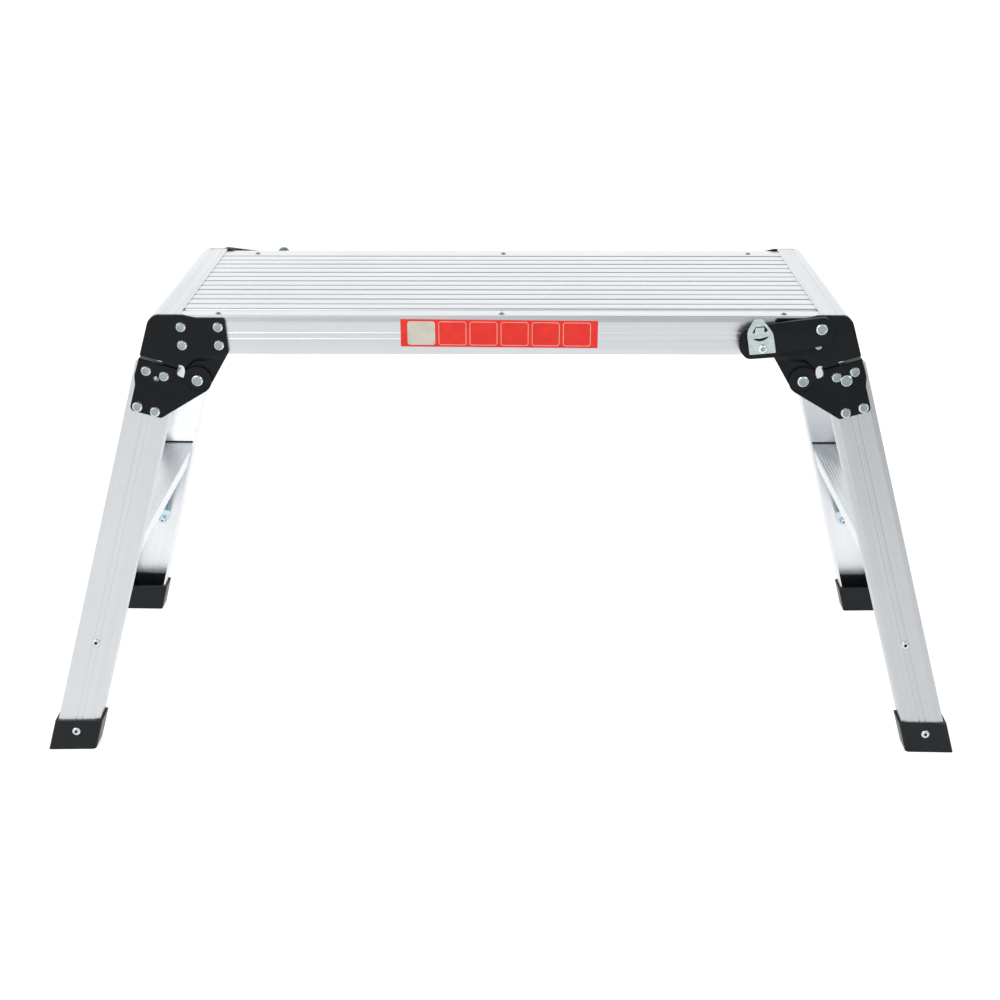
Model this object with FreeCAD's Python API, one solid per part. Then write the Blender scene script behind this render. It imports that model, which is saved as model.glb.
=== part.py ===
import FreeCAD, Part
import math
import os

# Folding work platform: a ribbed aluminium deck carried by two raked leg frames.
# Millimetres, +Z up, +X along the deck, the front of the deck faces -Y.
# The origin lies on the floor under the middle of the deck.

# Overall sizes
DECK_LENGTH = 740.0
DECK_WIDTH = 300.0
DECK_HEIGHT = 500.0
LEG_RAKE = 15.7
LEG_SPLAY = 5.5

# Running, fitting and seating clearances
RUN_FIT = 0.05
FIT = 0.1
FACE_GAP = 0.3

# Outward web common to the rails and the stiles
WALL = 2.0
BEVEL_WIDTH = 6.0
BEVEL_DEPTH = 1.0
GROOVE_SPACING = 6.6
GROOVE_WIDTH = 1.4
GROOVE_DEPTH = 0.4

# Deck rails
RAIL_HEIGHT = 42.0
RAIL_TOP_FLANGE = 30.0
RAIL_BOTTOM_FLANGE = 20.0
RAIL_LIP = 2.0
RAIL_COPE = 46.0

# Deck planks and the members under them
PLANK_COUNT = 6
PLANK_DEPTH = 8.0
PLANK_SKIN = 2.2
PLANK_RIB = 1.8
PLANK_GAP = 0.3
PLANK_CHAMFER = 0.8
MEMBER_WIDTH = 25.0
MEMBER_INSET = 65.0
MEMBER_END_CLEARANCE = 5.0

# End caps
CAP_WIDTH = 32.0
CAP_SKIN = 2.0
CAP_ROUND = 9.0
CAP_DROP = 42.0
CAP_GROOVE_INSET = 18.5
CAP_GROOVE_WIDTH = 1.6
CAP_GROOVE_DEPTH = 0.8

# Hinge line of each leg
PIVOT_INSET = 47.0
PIVOT_DROP = 28.0
PIVOT_RADIUS = 4.0
PIVOT_HEAD_RADIUS = 6.2
PIVOT_HEAD = 2.8
PIVOT_INNER_HEAD = 2.5
HEAD_GAP = 0.15

# Hinge plates: the sheet, and the plane where the two halves meet
PLATE = 3.0
BEND_RADIUS = 3.0
MATING_LIFT = 6.5
STOP_FLANGE = 10.0
NECK_EDGE = 22.9

# Upper plate, out and up from the pivot
UPPER_INNER = 35.6
UPPER_INNER_TOP = 33.4
UPPER_INNER_FOOT = 31.3
UPPER_BELOW_DECK = 1.4
UPPER_BELOW_CAP = 0.2
UPPER_STEP_FROM = -2.0
UPPER_STEP_TO = 11.0
UPPER_OUTER_TOP = 46.0
UPPER_TOP_ROUND = 14.0
UPPER_RIM = 65.0
UPPER_RIM_LIFT = 10.4
UPPER_STOP_END = 40.5
RELIEF_RADIUS = 4.4
RELIEF_CENTRE = 20.0
RELIEF_LIFT = 7.3
TONGUE_RADIUS = 14.7

# The line where the upper plate steps in behind the hub, on each of its faces
JOGGLE_RISE = 0.124
JOGGLE_TURN = (0.7, 24.4)
JOGGLE_TURN_ROUND = 11.0
JOGGLE_FOOT_RISE = 0.08
JOGGLE_FOOT_TURN = (2.4, 19.8)
JOGGLE_FOOT_ROUND = 8.0
JOGGLE_FALL = 0.94

# Lower plate, across and down from the pivot
HUB_RADIUS = 15.0
HUB_FACE_RADIUS = 12.0
LOWER_RIM = 65.5
LOWER_RIM_SWELL = 66.1
LOWER_RIM_WAIST = 63.2
LOWER_SWELL_DOWN = 13.0
LOWER_WAIST_DOWN = 23.0
LOWER_BOTTOM = 51.4
LOWER_BOTTOM_INNER = 28.6
NECK_DOWN = 2.1
NECK_ROUND = 4.5
WING_FROM = 48.0
WING_DEPTH = 22.0

# Stiles
STILE_WIDTH = 46.0
STILE_OFFSET = 22.5
STILE_FLANGE = 25.0
STILE_TOP = -1.5
LOCK_NOTCH = 28.0

# Treads
TREAD_HEIGHT = 242.0
TREAD_DEPTH = 24.0
TREAD_WALL = 2.0
TREAD_RIB_COUNT = 12
TREAD_RIB_HEIGHT = 0.5
TREAD_RIB_WIDTH = 1.8

# Knee braces
BRACE_WIDTH = 15.0
BRACE_THICKNESS = 2.5
BRACE_FOOT_HEIGHT = 131.0
BRACE_TAB = 12.0
BRACE_REACH = 62.0
BRACE_SEAT = 22.0

# Feet
FOOT_WALL = 3.0
FOOT_HEIGHT = 35.0
FOOT_SOLE = 4.0
FOOT_ROUND = 2.5
FOOT_INNER_ROUND = 4.0
FOOT_LINER = 2.5
FOOT_LINER_HEIGHT = 44.0

# Lock lever, its catch and its arm
LEVER_OUT = 13.8
LEVER_UP = 59.7
LEVER_STAND_OFF = 3.0
LEVER_DEPTH = 6.0
LEVER_WALL = 2.0
LEVER_PIN_RADIUS = 4.0
LEVER_PIN_HEAD_RADIUS = 6.0
LEVER_PIN_HEAD = 2.0
CATCH_THICKNESS = 1.5
ARM_GAP = 1.5
ARM_THICKNESS = 3.0
ARM_WIDTH = 10.0
ARM_BOSS_RADIUS = 7.0
ARM_CLEARANCE = 1.0
ARM_PAST_PIN = 6.0
ARM_BEND_ABOVE_PIN = 8.0
ARM_BEND_ROUND = 8.0
ARM_TIP_ROUND = 1.5
ARM_HEEL_ROUND = 3.0
LOCK_PIN_RADIUS = 4.0
LOCK_PIN_HEAD_RADIUS = 6.1
LOCK_PIN_HEAD = 3.0
LOCK_PIN_OUT = 44.4
LOCK_PIN_DOWN = 11.5
LOCK_PIN_PAST_ARM = 3.0
SPARE_HOLE_OUT = 43.1
SPARE_HOLE_DOWN = 10.9
SPARE_HOLE_RADIUS = 3.0

V = FreeCAD.Vector
RAKE = math.radians(LEG_RAKE)
SPLAY = math.radians(LEG_SPLAY)
HALF_LENGTH = DECK_LENGTH / 2
HALF_WIDTH = DECK_WIDTH / 2
DECK_END = HALF_LENGTH - CAP_ROUND
RAIL_BOTTOM = DECK_HEIGHT - RAIL_HEIGHT
PIVOT_X = HALF_LENGTH - PIVOT_INSET
PIVOT_Z = RAIL_BOTTOM - PIVOT_DROP
WEB_FACE = -HALF_WIDTH
PLATE_FACE = WEB_FACE - PLATE
TONGUE_FACE = WEB_FACE + FACE_GAP
TONGUE_BACK = TONGUE_FACE + PLATE
FLANGE_BACK = PLATE_FACE + STOP_FLANGE
WING_BACK = WEB_FACE + WING_DEPTH
MEMBER_X = HALF_LENGTH - MEMBER_INSET
# Longer than any run of the platform, for shapes that are trimmed afterwards
FAR = 4 * (DECK_LENGTH + DECK_HEIGHT)

# The stile frame of the front right corner: across is outboard and up at right
# angles to the stile, down runs along it and inward points from the web to the
# middle of the platform. The leg's splay turns the frame about the across line.
ACROSS = V(math.cos(RAKE), 0, math.sin(RAKE))
DOWN_FLAT = V(math.sin(RAKE), 0, -math.cos(RAKE))
INWARD_FLAT = V(0, 1, 0)
DOWN = DOWN_FLAT * math.cos(SPLAY) - INWARD_FLAT * math.sin(SPLAY)
INWARD = INWARD_FLAT * math.cos(SPLAY) + DOWN_FLAT * math.sin(SPLAY)
PIVOT = V(PIVOT_X, WEB_FACE, PIVOT_Z)
STILE_MIDDLE = STILE_OFFSET + STILE_WIDTH / 2


def on_stile(across, down, inward):
    return PIVOT + ACROSS * across + DOWN * down + INWARD * inward


def on_hinge(across, down, y):
    point = PIVOT + ACROSS * across + DOWN_FLAT * down
    return V(point.x, y, point.z)


def from_pivot(out, up, y):
    return V(PIVOT_X + out, y, PIVOT_Z + up)


def face(points):
    return Part.Face(Part.makePolygon(list(points) + [points[0]]))


def rounded_face(corners, place):
    # Each corner is (first, second, radius) and place turns the pair into a point.
    edges = []
    ends = []
    count = len(corners)
    for i in range(count):
        a, b, radius = corners[i]
        before = corners[i - 1]
        after = corners[(i + 1) % count]
        corner = V(a, b, 0)
        to_before = (V(before[0], before[1], 0) - corner).normalize()
        to_after = (V(after[0], after[1], 0) - corner).normalize()
        if radius <= 0:
            ends.append((corner, None, corner))
            continue
        half = to_before.getAngle(to_after) / 2
        run = radius / math.tan(half)
        middle = (to_before + to_after).normalize()
        centre = corner + middle * (radius / math.sin(half))
        ends.append((corner + to_before * run, centre - middle * radius, corner + to_after * run))

    def world(point):
        return place(point.x, point.y)

    for i in range(count):
        start, top, end = ends[i]
        if top is not None:
            edges.append(Part.Arc(world(start), world(top), world(end)).toShape())
        following = ends[(i + 1) % count][0]
        if (following - end).Length > 1e-6:
            edges.append(Part.LineSegment(world(end), world(following)).toShape())
    return Part.Face(Part.Wire(edges))


def slab(low, high):
    return Part.makeBox(2 * FAR, 2 * FAR, high - low, V(-FAR, -FAR, low))


def cylinder_y(x, z, radius, y_from, y_to):
    return Part.makeCylinder(radius, y_to - y_from, V(x, y_from, z), V(0, 1, 0))


def outer_web(start, width):
    # The outside of a web from one edge to the other: bevelled edges and two fine
    # grooves beside the middle.
    middle = start + width / 2
    points = [(start, BEVEL_DEPTH), (start + BEVEL_WIDTH, 0)]
    for side in (-1, 1):
        centre = middle + side * GROOVE_SPACING / 2
        points.append((centre - GROOVE_WIDTH / 2, 0))
        points.append((centre, GROOVE_DEPTH))
        points.append((centre + GROOVE_WIDTH / 2, 0))
    points.append((start + width - BEVEL_WIDTH, 0))
    points.append((start + width, BEVEL_DEPTH))
    return points


def mirror_x(shape):
    return shape.mirror(V(0, 0, 0), V(1, 0, 0))


def mirror_y(shape):
    return shape.mirror(V(0, 0, 0), V(0, 1, 0))


CORNERS = {
    "front_right": lambda shape: shape,
    "front_left": mirror_x,
    "rear_right": mirror_y,
    "rear_left": lambda shape: mirror_x(mirror_y(shape)),
}
LOCKED = ("front_right", "rear_left")


def rail():
    # The front rail, with its lower flange coped at both ends for the hinges and a
    # hole for the lever pin at the right.
    points = [(q, p) for p, q in outer_web(0, RAIL_HEIGHT)]
    points += [
        (BEVEL_DEPTH + 1.0, RAIL_HEIGHT),
        (RAIL_TOP_FLANGE, RAIL_HEIGHT),
        (RAIL_TOP_FLANGE, RAIL_HEIGHT - PLANK_DEPTH),
        (RAIL_TOP_FLANGE - RAIL_LIP, RAIL_HEIGHT - PLANK_DEPTH),
        (RAIL_TOP_FLANGE - RAIL_LIP, RAIL_HEIGHT - WALL),
        (WALL, RAIL_HEIGHT - WALL),
        (WALL, WALL),
        (RAIL_BOTTOM_FLANGE, WALL),
        (RAIL_BOTTOM_FLANGE, 0),
        (BEVEL_DEPTH + 1.0, 0),
    ]
    section = face([V(-DECK_END, WEB_FACE + q, RAIL_BOTTOM + p) for q, p in points])
    body = section.extrude(V(2 * DECK_END, 0, 0))
    for side in (-1, 1):
        cope = Part.makeBox(RAIL_COPE, DECK_WIDTH, WALL, V(0, WEB_FACE + WALL, RAIL_BOTTOM))
        cope.translate(V(side * DECK_END - (RAIL_COPE if side > 0 else 0), 0, 0))
        body = body.cut(cope)
    pin = cylinder_y(
        PIVOT_X + LEVER_OUT, PIVOT_Z + LEVER_UP, LEVER_PIN_RADIUS + RUN_FIT,
        WEB_FACE - 1, WEB_FACE + WALL + 1)
    return body.cut(pin)


def plank(index):
    pitch = (DECK_WIDTH - 2 * RAIL_TOP_FLANGE) / PLANK_COUNT
    width = pitch - PLANK_GAP
    start = -HALF_WIDTH + RAIL_TOP_FLANGE + pitch * index + PLANK_GAP / 2
    middle = width / 2
    points = [
        (PLANK_CHAMFER, 0),
        (middle - PLANK_CHAMFER, 0),
        (middle, -PLANK_CHAMFER),
        (middle + PLANK_CHAMFER, 0),
        (width - PLANK_CHAMFER, 0),
        (width, -PLANK_CHAMFER),
        (width, -PLANK_DEPTH),
        (width - PLANK_RIB, -PLANK_DEPTH),
        (width - PLANK_RIB, -PLANK_SKIN),
        (middle + PLANK_RIB / 2, -PLANK_SKIN),
        (middle + PLANK_RIB / 2, -PLANK_DEPTH),
        (middle - PLANK_RIB / 2, -PLANK_DEPTH),
        (middle - PLANK_RIB / 2, -PLANK_SKIN),
        (PLANK_RIB, -PLANK_SKIN),
        (PLANK_RIB, -PLANK_DEPTH),
        (0, -PLANK_DEPTH),
        (0, -PLANK_CHAMFER),
    ]
    section = face([V(-DECK_END, start + p, DECK_HEIGHT + q) for p, q in points])
    return section.extrude(V(2 * DECK_END, 0, 0))


def cross_member(x):
    bottom = RAIL_BOTTOM + WALL
    top = DECK_HEIGHT - PLANK_DEPTH
    half = HALF_WIDTH - MEMBER_END_CLEARANCE - WALL
    outer = Part.makeBox(
        MEMBER_WIDTH, 2 * half, top - bottom, V(x - MEMBER_WIDTH / 2, -half, bottom))
    inner = Part.makeBox(
        MEMBER_WIDTH - 2 * WALL, 2 * half + 2, top - bottom - 2 * WALL,
        V(x - MEMBER_WIDTH / 2 + WALL, -half - 1, bottom + WALL))
    return outer.cut(inner)


def end_cap():
    # The right end cap: a skin over the plank ends with a rounded nose that turns
    # down into the end wall.
    top = DECK_HEIGHT + CAP_SKIN
    inner = HALF_LENGTH - CAP_WIDTH
    groove = inner + CAP_GROOVE_INSET
    corners = [
        (inner, DECK_HEIGHT, 0),
        (inner, top, 0.8),
        (groove - CAP_GROOVE_WIDTH / 2, top, 0),
        (groove, top - CAP_GROOVE_DEPTH, 0),
        (groove + CAP_GROOVE_WIDTH / 2, top, 0),
        (HALF_LENGTH, top, CAP_ROUND),
        (HALF_LENGTH, DECK_HEIGHT - CAP_DROP, 0),
        (HALF_LENGTH - WALL, DECK_HEIGHT - CAP_DROP, 0),
        (HALF_LENGTH - WALL, DECK_HEIGHT, CAP_ROUND - WALL),
    ]
    section = rounded_face(corners, lambda x, z: V(x, -HALF_WIDTH, z))
    return section.extrude(V(0, DECK_WIDTH, 0))


def tangent_point(corner, radius, sense):
    # The point where a line from the corner touches a circle round the pivot.
    reach = math.hypot(corner[0], corner[1])
    angle = math.atan2(corner[1], corner[0]) + sense * math.acos(radius / reach)
    return (radius * math.cos(angle), radius * math.sin(angle))


def joggle_pocket():
    # What the step takes away in front of the tongue: the space inboard of and
    # below the step line, which moves towards the pivot as it goes inward.
    layers = []
    for y, turn, rise, round_off in (
            (PLATE_FACE, JOGGLE_TURN, JOGGLE_RISE, JOGGLE_TURN_ROUND),
            (TONGUE_FACE, JOGGLE_FOOT_TURN, JOGGLE_FOOT_RISE, JOGGLE_FOOT_ROUND)):
        run = 2 * UPPER_INNER
        corners = [
            (turn[0] - run, turn[1] + rise * run, 0),
            (turn[0], turn[1], round_off),
            (turn[0] + run, turn[1] - JOGGLE_FALL * run, 0),
            (turn[0] - run, turn[1] - JOGGLE_FALL * run, 0),
        ]
        layers.append(rounded_face(corners, lambda a, b: from_pivot(a, b, y)).OuterWire)
    return Part.makeLoft(layers, True, True)


def upper_plate(locked):
    # The deck side of a corner hinge. The upper part lies on the rail, the lower
    # part steps in by one plate to run behind the hub of the leg side, and part of
    # the lower edge turns inward as the stop that the leg side closes against.
    line = -MATING_LIFT - FACE_GAP / 2
    cap_level = DECK_HEIGHT + CAP_SKIN - PIVOT_Z - UPPER_BELOW_CAP
    deck_level = DECK_HEIGHT - PIVOT_Z - UPPER_BELOW_DECK
    rim = on_hinge(UPPER_RIM, -UPPER_RIM_LIFT, 0) - V(PIVOT_X, 0, PIVOT_Z)
    stop_end = on_hinge(RELIEF_CENTRE, -UPPER_RIM_LIFT, 0) - V(PIVOT_X, 0, PIVOT_Z)
    neck = on_hinge(RELIEF_CENTRE - RELIEF_RADIUS, line, 0) - V(PIVOT_X, 0, PIVOT_Z)
    foot_corner = (-UPPER_INNER, UPPER_INNER_FOOT)
    touch = tangent_point(foot_corner, TONGUE_RADIUS, 1)
    corners = [
        (-UPPER_INNER, UPPER_INNER_FOOT, 3.0),
        (-UPPER_INNER_TOP, deck_level, 3.5),
        (UPPER_STEP_FROM, deck_level, 10.0),
        (UPPER_STEP_TO, cap_level, 8.0),
        (UPPER_OUTER_TOP, cap_level, UPPER_TOP_ROUND),
        (rim.x, rim.z, 1.5),
        (stop_end.x, stop_end.z, 0),
        (neck.x, neck.z, 0),
        (TONGUE_RADIUS, 0, 0),
        (0, 0, 0),
        (touch[0], touch[1], 0),
    ]
    sheet = rounded_face(corners, lambda a, b: from_pivot(a, b, PLATE_FACE))
    front = sheet.extrude(V(0, PLATE, 0))
    whole = sheet.extrude(V(0, TONGUE_BACK - PLATE_FACE, 0))
    round_end = cylinder_y(PIVOT_X, PIVOT_Z, TONGUE_RADIUS, PLATE_FACE, TONGUE_BACK)
    pocket = joggle_pocket()
    behind = pocket.copy()
    behind.translate(V(0, PLATE, 0))
    body = front.fuse(whole.fuse(round_end).common(behind)).cut(pocket)

    profile = [
        (PLATE_FACE, -UPPER_RIM_LIFT - PLATE, 0),
        (PLATE_FACE, line, BEND_RADIUS),
        (FLANGE_BACK, line, 0),
        (FLANGE_BACK, line - PLATE, 0),
        (WEB_FACE, line - PLATE, 0),
        (WEB_FACE, -UPPER_RIM_LIFT - PLATE, 0),
    ]
    stop = rounded_face(profile, lambda y, b: on_hinge(RELIEF_CENTRE, b, y))
    body = body.fuse(stop.extrude(ACROSS * (UPPER_STOP_END - RELIEF_CENTRE)))

    low = on_hinge(RELIEF_CENTRE, HUB_RADIUS, PLATE_FACE - 1)
    high = on_hinge(RELIEF_CENTRE, -RELIEF_LIFT, PLATE_FACE - 1)
    side = ACROSS * RELIEF_RADIUS
    relief = face([low - side, low + side, high + side, high - side])
    relief = relief.extrude(V(0, STOP_FLANGE + 2, 0))
    end = Part.makeCylinder(RELIEF_RADIUS, STOP_FLANGE + 2, high, V(0, 1, 0))
    body = body.cut(relief).cut(end)

    body = body.cut(cylinder_y(PIVOT_X, PIVOT_Z, PIVOT_RADIUS, PLATE_FACE - 1, TONGUE_BACK + 1))
    if locked:
        body = body.cut(cylinder_y(
            PIVOT_X + LEVER_OUT, PIVOT_Z + LEVER_UP, LEVER_PIN_RADIUS + RUN_FIT,
            PLATE_FACE - 1, WEB_FACE + 1))
    return body.removeSplitter()


def lower_plate(locked):
    # The leg side of a corner hinge: a flat hub on the pivot, a plate that follows
    # the splay of the stile, and a flange along its upper edge that widens at the
    # outer end to cover the top of the stile.
    line = -MATING_LIFT + FACE_GAP / 2
    under = line + 2 * PLATE
    touch = tangent_point((LOWER_BOTTOM_INNER, LOWER_BOTTOM), HUB_RADIUS, 1)
    corners = [
        (NECK_EDGE, under - 1.0, 0),
        (LOWER_RIM, under - 1.0, 0),
        (LOWER_RIM_SWELL, LOWER_SWELL_DOWN, 12.0),
        (LOWER_RIM_WAIST, LOWER_WAIST_DOWN, 12.0),
        (LOWER_RIM_WAIST, LOWER_BOTTOM, 5.0),
        (LOWER_BOTTOM_INNER, LOWER_BOTTOM, 3.5),
        (touch[0], touch[1], 0),
        (0, NECK_DOWN, 0),
        (NECK_EDGE, NECK_DOWN, NECK_ROUND),
    ]
    sheet = rounded_face(corners, lambda a, b: on_stile(a, b, -PLATE))
    body = sheet.extrude(INWARD * PLATE)
    body = body.cut(cylinder_y(
        PIVOT_X, PIVOT_Z, HUB_FACE_RADIUS, PLATE_FACE - PLATE, WEB_FACE + PLATE))
    body = body.fuse(cylinder_y(PIVOT_X, PIVOT_Z, HUB_RADIUS, PLATE_FACE, WEB_FACE))

    def back(down):
        return WEB_FACE - down * math.tan(SPLAY)

    def front(down):
        return back(down) - PLATE / math.cos(SPLAY)

    for start, far in ((NECK_EDGE, FLANGE_BACK), (WING_FROM, WING_BACK)):
        profile = [
            (front(under), under, 0),
            (front(line), line, BEND_RADIUS),
            (far, line, 0),
            (far, line + PLATE, 0),
            (back(line + PLATE), line + PLATE, 0),
            (back(under), under, 0),
        ]
        bend = rounded_face(profile, lambda y, b: on_hinge(start, b, y))
        body = body.fuse(bend.extrude(ACROSS * (LOWER_RIM - start)))
    body = body.cut(cylinder_y(
        PIVOT_X, PIVOT_Z, PIVOT_RADIUS + RUN_FIT, PLATE_FACE - PLATE, WEB_FACE + PLATE))
    if locked:
        hole = stile_hole(LOCK_PIN_OUT, LOCK_PIN_DOWN, LOCK_PIN_RADIUS)
    else:
        hole = stile_hole(SPARE_HOLE_OUT, SPARE_HOLE_DOWN, SPARE_HOLE_RADIUS)
    return body.cut(hole).removeSplitter()


def stile_hole(across, down, radius):
    reach = PLATE + WALL + 2.0
    return Part.makeCylinder(radius, reach, on_stile(across, down, -PLATE - 1.0), INWARD)


def stile_points(grow):
    low = STILE_OFFSET - grow
    high = STILE_OFFSET + STILE_WIDTH + grow
    if grow > 0:
        outside = [(low, -grow), (high, -grow)]
    else:
        outside = outer_web(STILE_OFFSET, STILE_WIDTH)
    inside = [
        (high, STILE_FLANGE + grow),
        (high - WALL - 2 * grow, STILE_FLANGE + grow),
        (high - WALL - 2 * grow, WALL + grow),
        (low + WALL + 2 * grow, WALL + grow),
        (low + WALL + 2 * grow, STILE_FLANGE + grow),
        (low, STILE_FLANGE + grow),
    ]
    return outside + inside


def stile_run(points, top):
    section = face([on_stile(a, top, q) for a, q in points])
    return section.extrude(DOWN * (FAR / 2))


def stile(locked):
    body = stile_run(stile_points(0), STILE_TOP)
    body = body.cut(slab(-FAR, FOOT_SOLE))
    if locked:
        body = body.cut(stile_hole(LOCK_PIN_OUT, LOCK_PIN_DOWN, LOCK_PIN_RADIUS))
        notch = face([
            on_stile(STILE_OFFSET - 1, STILE_TOP - 5, WALL + 2),
            on_stile(STILE_OFFSET + WALL + 1, STILE_TOP - 5, WALL + 2),
            on_stile(STILE_OFFSET + WALL + 1, LOCK_NOTCH, WALL + 2),
            on_stile(STILE_OFFSET - 1, LOCK_NOTCH, WALL + 2),
        ])
        body = body.cut(notch.extrude(INWARD * STILE_FLANGE))
    return body


def stile_x(across, z):
    # The distance from the middle of the platform to a line along the stile.
    return PIVOT_X + (across - (z - PIVOT_Z) * math.sin(RAKE)) / math.cos(RAKE)


def tread():
    # The right tread: a box section with ribs on top, raked like the stiles that
    # its ends run between.
    low = STILE_OFFSET + WALL + FIT
    high = STILE_OFFSET + STILE_WIDTH - WALL - FIT
    plate_top = TREAD_HEIGHT - TREAD_RIB_HEIGHT
    bottom = TREAD_HEIGHT - TREAD_DEPTH
    outline = [(stile_x(low, bottom), bottom), (stile_x(low, plate_top), plate_top)]
    width = stile_x(high, plate_top) - stile_x(low, plate_top)
    pitch = width / TREAD_RIB_COUNT
    for i in range(TREAD_RIB_COUNT):
        centre = stile_x(low, plate_top) + pitch * (i + 0.5)
        outline.append((centre - TREAD_RIB_WIDTH / 2, plate_top))
        outline.append((centre - TREAD_RIB_WIDTH / 4, TREAD_HEIGHT))
        outline.append((centre + TREAD_RIB_WIDTH / 4, TREAD_HEIGHT))
        outline.append((centre + TREAD_RIB_WIDTH / 2, plate_top))
    outline.append((stile_x(high, plate_top), plate_top))
    outline.append((stile_x(high, bottom), bottom))
    body = face([V(x, -FAR / 2, z) for x, z in outline]).extrude(V(0, FAR, 0))
    side = TREAD_WALL / math.cos(RAKE)
    hollow_top = plate_top - TREAD_WALL
    hollow_low = bottom + TREAD_WALL
    hollow = [
        (stile_x(low, hollow_low) + side, hollow_low),
        (stile_x(low, hollow_top) + side, hollow_top),
        (stile_x(high, hollow_top) - side, hollow_top),
        (stile_x(high, hollow_low) - side, hollow_low),
    ]
    body = body.cut(face([V(x, -FAR / 2, z) for x, z in hollow]).extrude(V(0, FAR, 0)))
    trim = face([
        on_stile(-FAR / 4, -FAR / 4, WALL + FIT),
        on_stile(FAR / 4, -FAR / 4, WALL + FIT),
        on_stile(FAR / 4, FAR / 2, WALL + FIT),
        on_stile(-FAR / 4, FAR / 2, WALL + FIT),
    ]).extrude(INWARD * -FAR)
    return body.cut(trim).cut(mirror_y(trim))


def brace_foot_down():
    rise = PIVOT_Z + STILE_MIDDLE * math.sin(RAKE) - BRACE_FOOT_HEIGHT
    return rise / (math.cos(RAKE) * math.cos(SPLAY))


def knee_brace():
    # A strap from the web of the stile to the underside of the tread: two flat
    # tabs joined by a straight run that twists from one to the other.
    half = BRACE_WIDTH / 2
    down = brace_foot_down()
    near = WALL
    back = WALL + BRACE_THICKNESS
    corners = [
        (STILE_MIDDLE - half, down - BRACE_TAB, 0),
        (STILE_MIDDLE + half, down - BRACE_TAB, 0),
        (STILE_MIDDLE + half, down + half, half - 0.1),
        (STILE_MIDDLE - half, down + half, half - 0.1),
    ]
    low_tab = rounded_face(corners, lambda a, b: on_stile(a, b, near)).extrude(
        INWARD * BRACE_THICKNESS)
    low_end = Part.makePolygon([
        on_stile(STILE_MIDDLE - half, down - BRACE_TAB, near),
        on_stile(STILE_MIDDLE + half, down - BRACE_TAB, near),
        on_stile(STILE_MIDDLE + half, down - BRACE_TAB, back),
        on_stile(STILE_MIDDLE - half, down - BRACE_TAB, back),
        on_stile(STILE_MIDDLE - half, down - BRACE_TAB, near),
    ])
    top = TREAD_HEIGHT - TREAD_DEPTH
    centre = stile_x(STILE_MIDDLE, top)
    web_y = on_stile(STILE_MIDDLE, brace_foot_down() / 2, 0).y
    start = web_y + BRACE_REACH
    high_tab = Part.makeBox(
        BRACE_WIDTH, BRACE_SEAT, BRACE_THICKNESS, V(centre - half, start, top - BRACE_THICKNESS))
    high_end = Part.makePolygon([
        V(centre - half, start, top),
        V(centre + half, start, top),
        V(centre + half, start, top - BRACE_THICKNESS),
        V(centre - half, start, top - BRACE_THICKNESS),
        V(centre - half, start, top),
    ])
    run = Part.makeLoft([low_end, high_end], True, True)
    return run.fuse(low_tab).fuse(high_tab)


def shoe_block(low, high, near, far, rounds):
    # A block along the stile, from above the shoe to below the floor.
    corners = [
        (low, near, rounds[0]),
        (high, near, rounds[1]),
        (high, far, rounds[1]),
        (low, far, rounds[1]),
    ]
    start = brace_foot_down()
    return rounded_face(corners, lambda a, q: on_stile(a, start, q)).extrude(DOWN * (FAR / 2))


def foot():
    # A moulded shoe with a slot that takes the end of the stile, a level sole and
    # a hollow inside the channel, whose liner stands higher along the web.
    low = STILE_OFFSET - FOOT_WALL
    high = STILE_OFFSET + STILE_WIDTH + FOOT_WALL
    body = shoe_block(
        low, high, -FOOT_WALL, STILE_FLANGE + FOOT_WALL, (FOOT_INNER_ROUND, FOOT_ROUND))
    body = body.common(slab(0, FOOT_HEIGHT))
    low = STILE_OFFSET + WALL + FIT
    high = STILE_OFFSET + STILE_WIDTH - WALL - FIT
    near = WALL + FIT
    hollow = shoe_block(
        low + FOOT_LINER, high - FOOT_LINER, near + FOOT_LINER, STILE_FLANGE, (0, 0))
    body = body.cut(hollow.cut(slab(-FAR, FOOT_SOLE)))
    liner = shoe_block(low, high, near, near + FOOT_LINER, (0, 0))
    body = body.fuse(liner.common(slab(FOOT_SOLE, FOOT_LINER_HEIGHT)))
    slot = stile_run(stile_points(FIT), brace_foot_down()).cut(slab(-FAR, FOOT_SOLE))
    return body.cut(slot).removeSplitter()


def pivot_pin():
    outer = PLATE_FACE - HEAD_GAP
    body = cylinder_y(PIVOT_X, PIVOT_Z, PIVOT_HEAD_RADIUS, outer - PIVOT_HEAD, outer)
    body = body.fuse(cylinder_y(PIVOT_X, PIVOT_Z, PIVOT_RADIUS, outer, TONGUE_BACK))
    body = body.fuse(cylinder_y(
        PIVOT_X, PIVOT_Z, PIVOT_HEAD_RADIUS, TONGUE_BACK, TONGUE_BACK + PIVOT_INNER_HEAD))
    return body.removeSplitter()


def lock_pin():
    arm_back = FLANGE_BACK + ARM_GAP + ARM_THICKNESS
    reach = arm_back - WEB_FACE + LOCK_PIN_PAST_ARM
    start = on_stile(LOCK_PIN_OUT, LOCK_PIN_DOWN, -PLATE)
    head = Part.makeCylinder(
        LOCK_PIN_HEAD_RADIUS, LOCK_PIN_HEAD, start - INWARD * LOCK_PIN_HEAD, INWARD)
    shank = Part.makeCylinder(LOCK_PIN_RADIUS, reach + PLATE, start, INWARD)
    return head.fuse(shank).removeSplitter()


LEVER_FACE = PLATE_FACE - LEVER_STAND_OFF - LEVER_DEPTH
LEVER_BACK = LEVER_FACE + LEVER_DEPTH


def from_lever(out, up, y):
    return from_pivot(LEVER_OUT + out, LEVER_UP + up, y)


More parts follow.
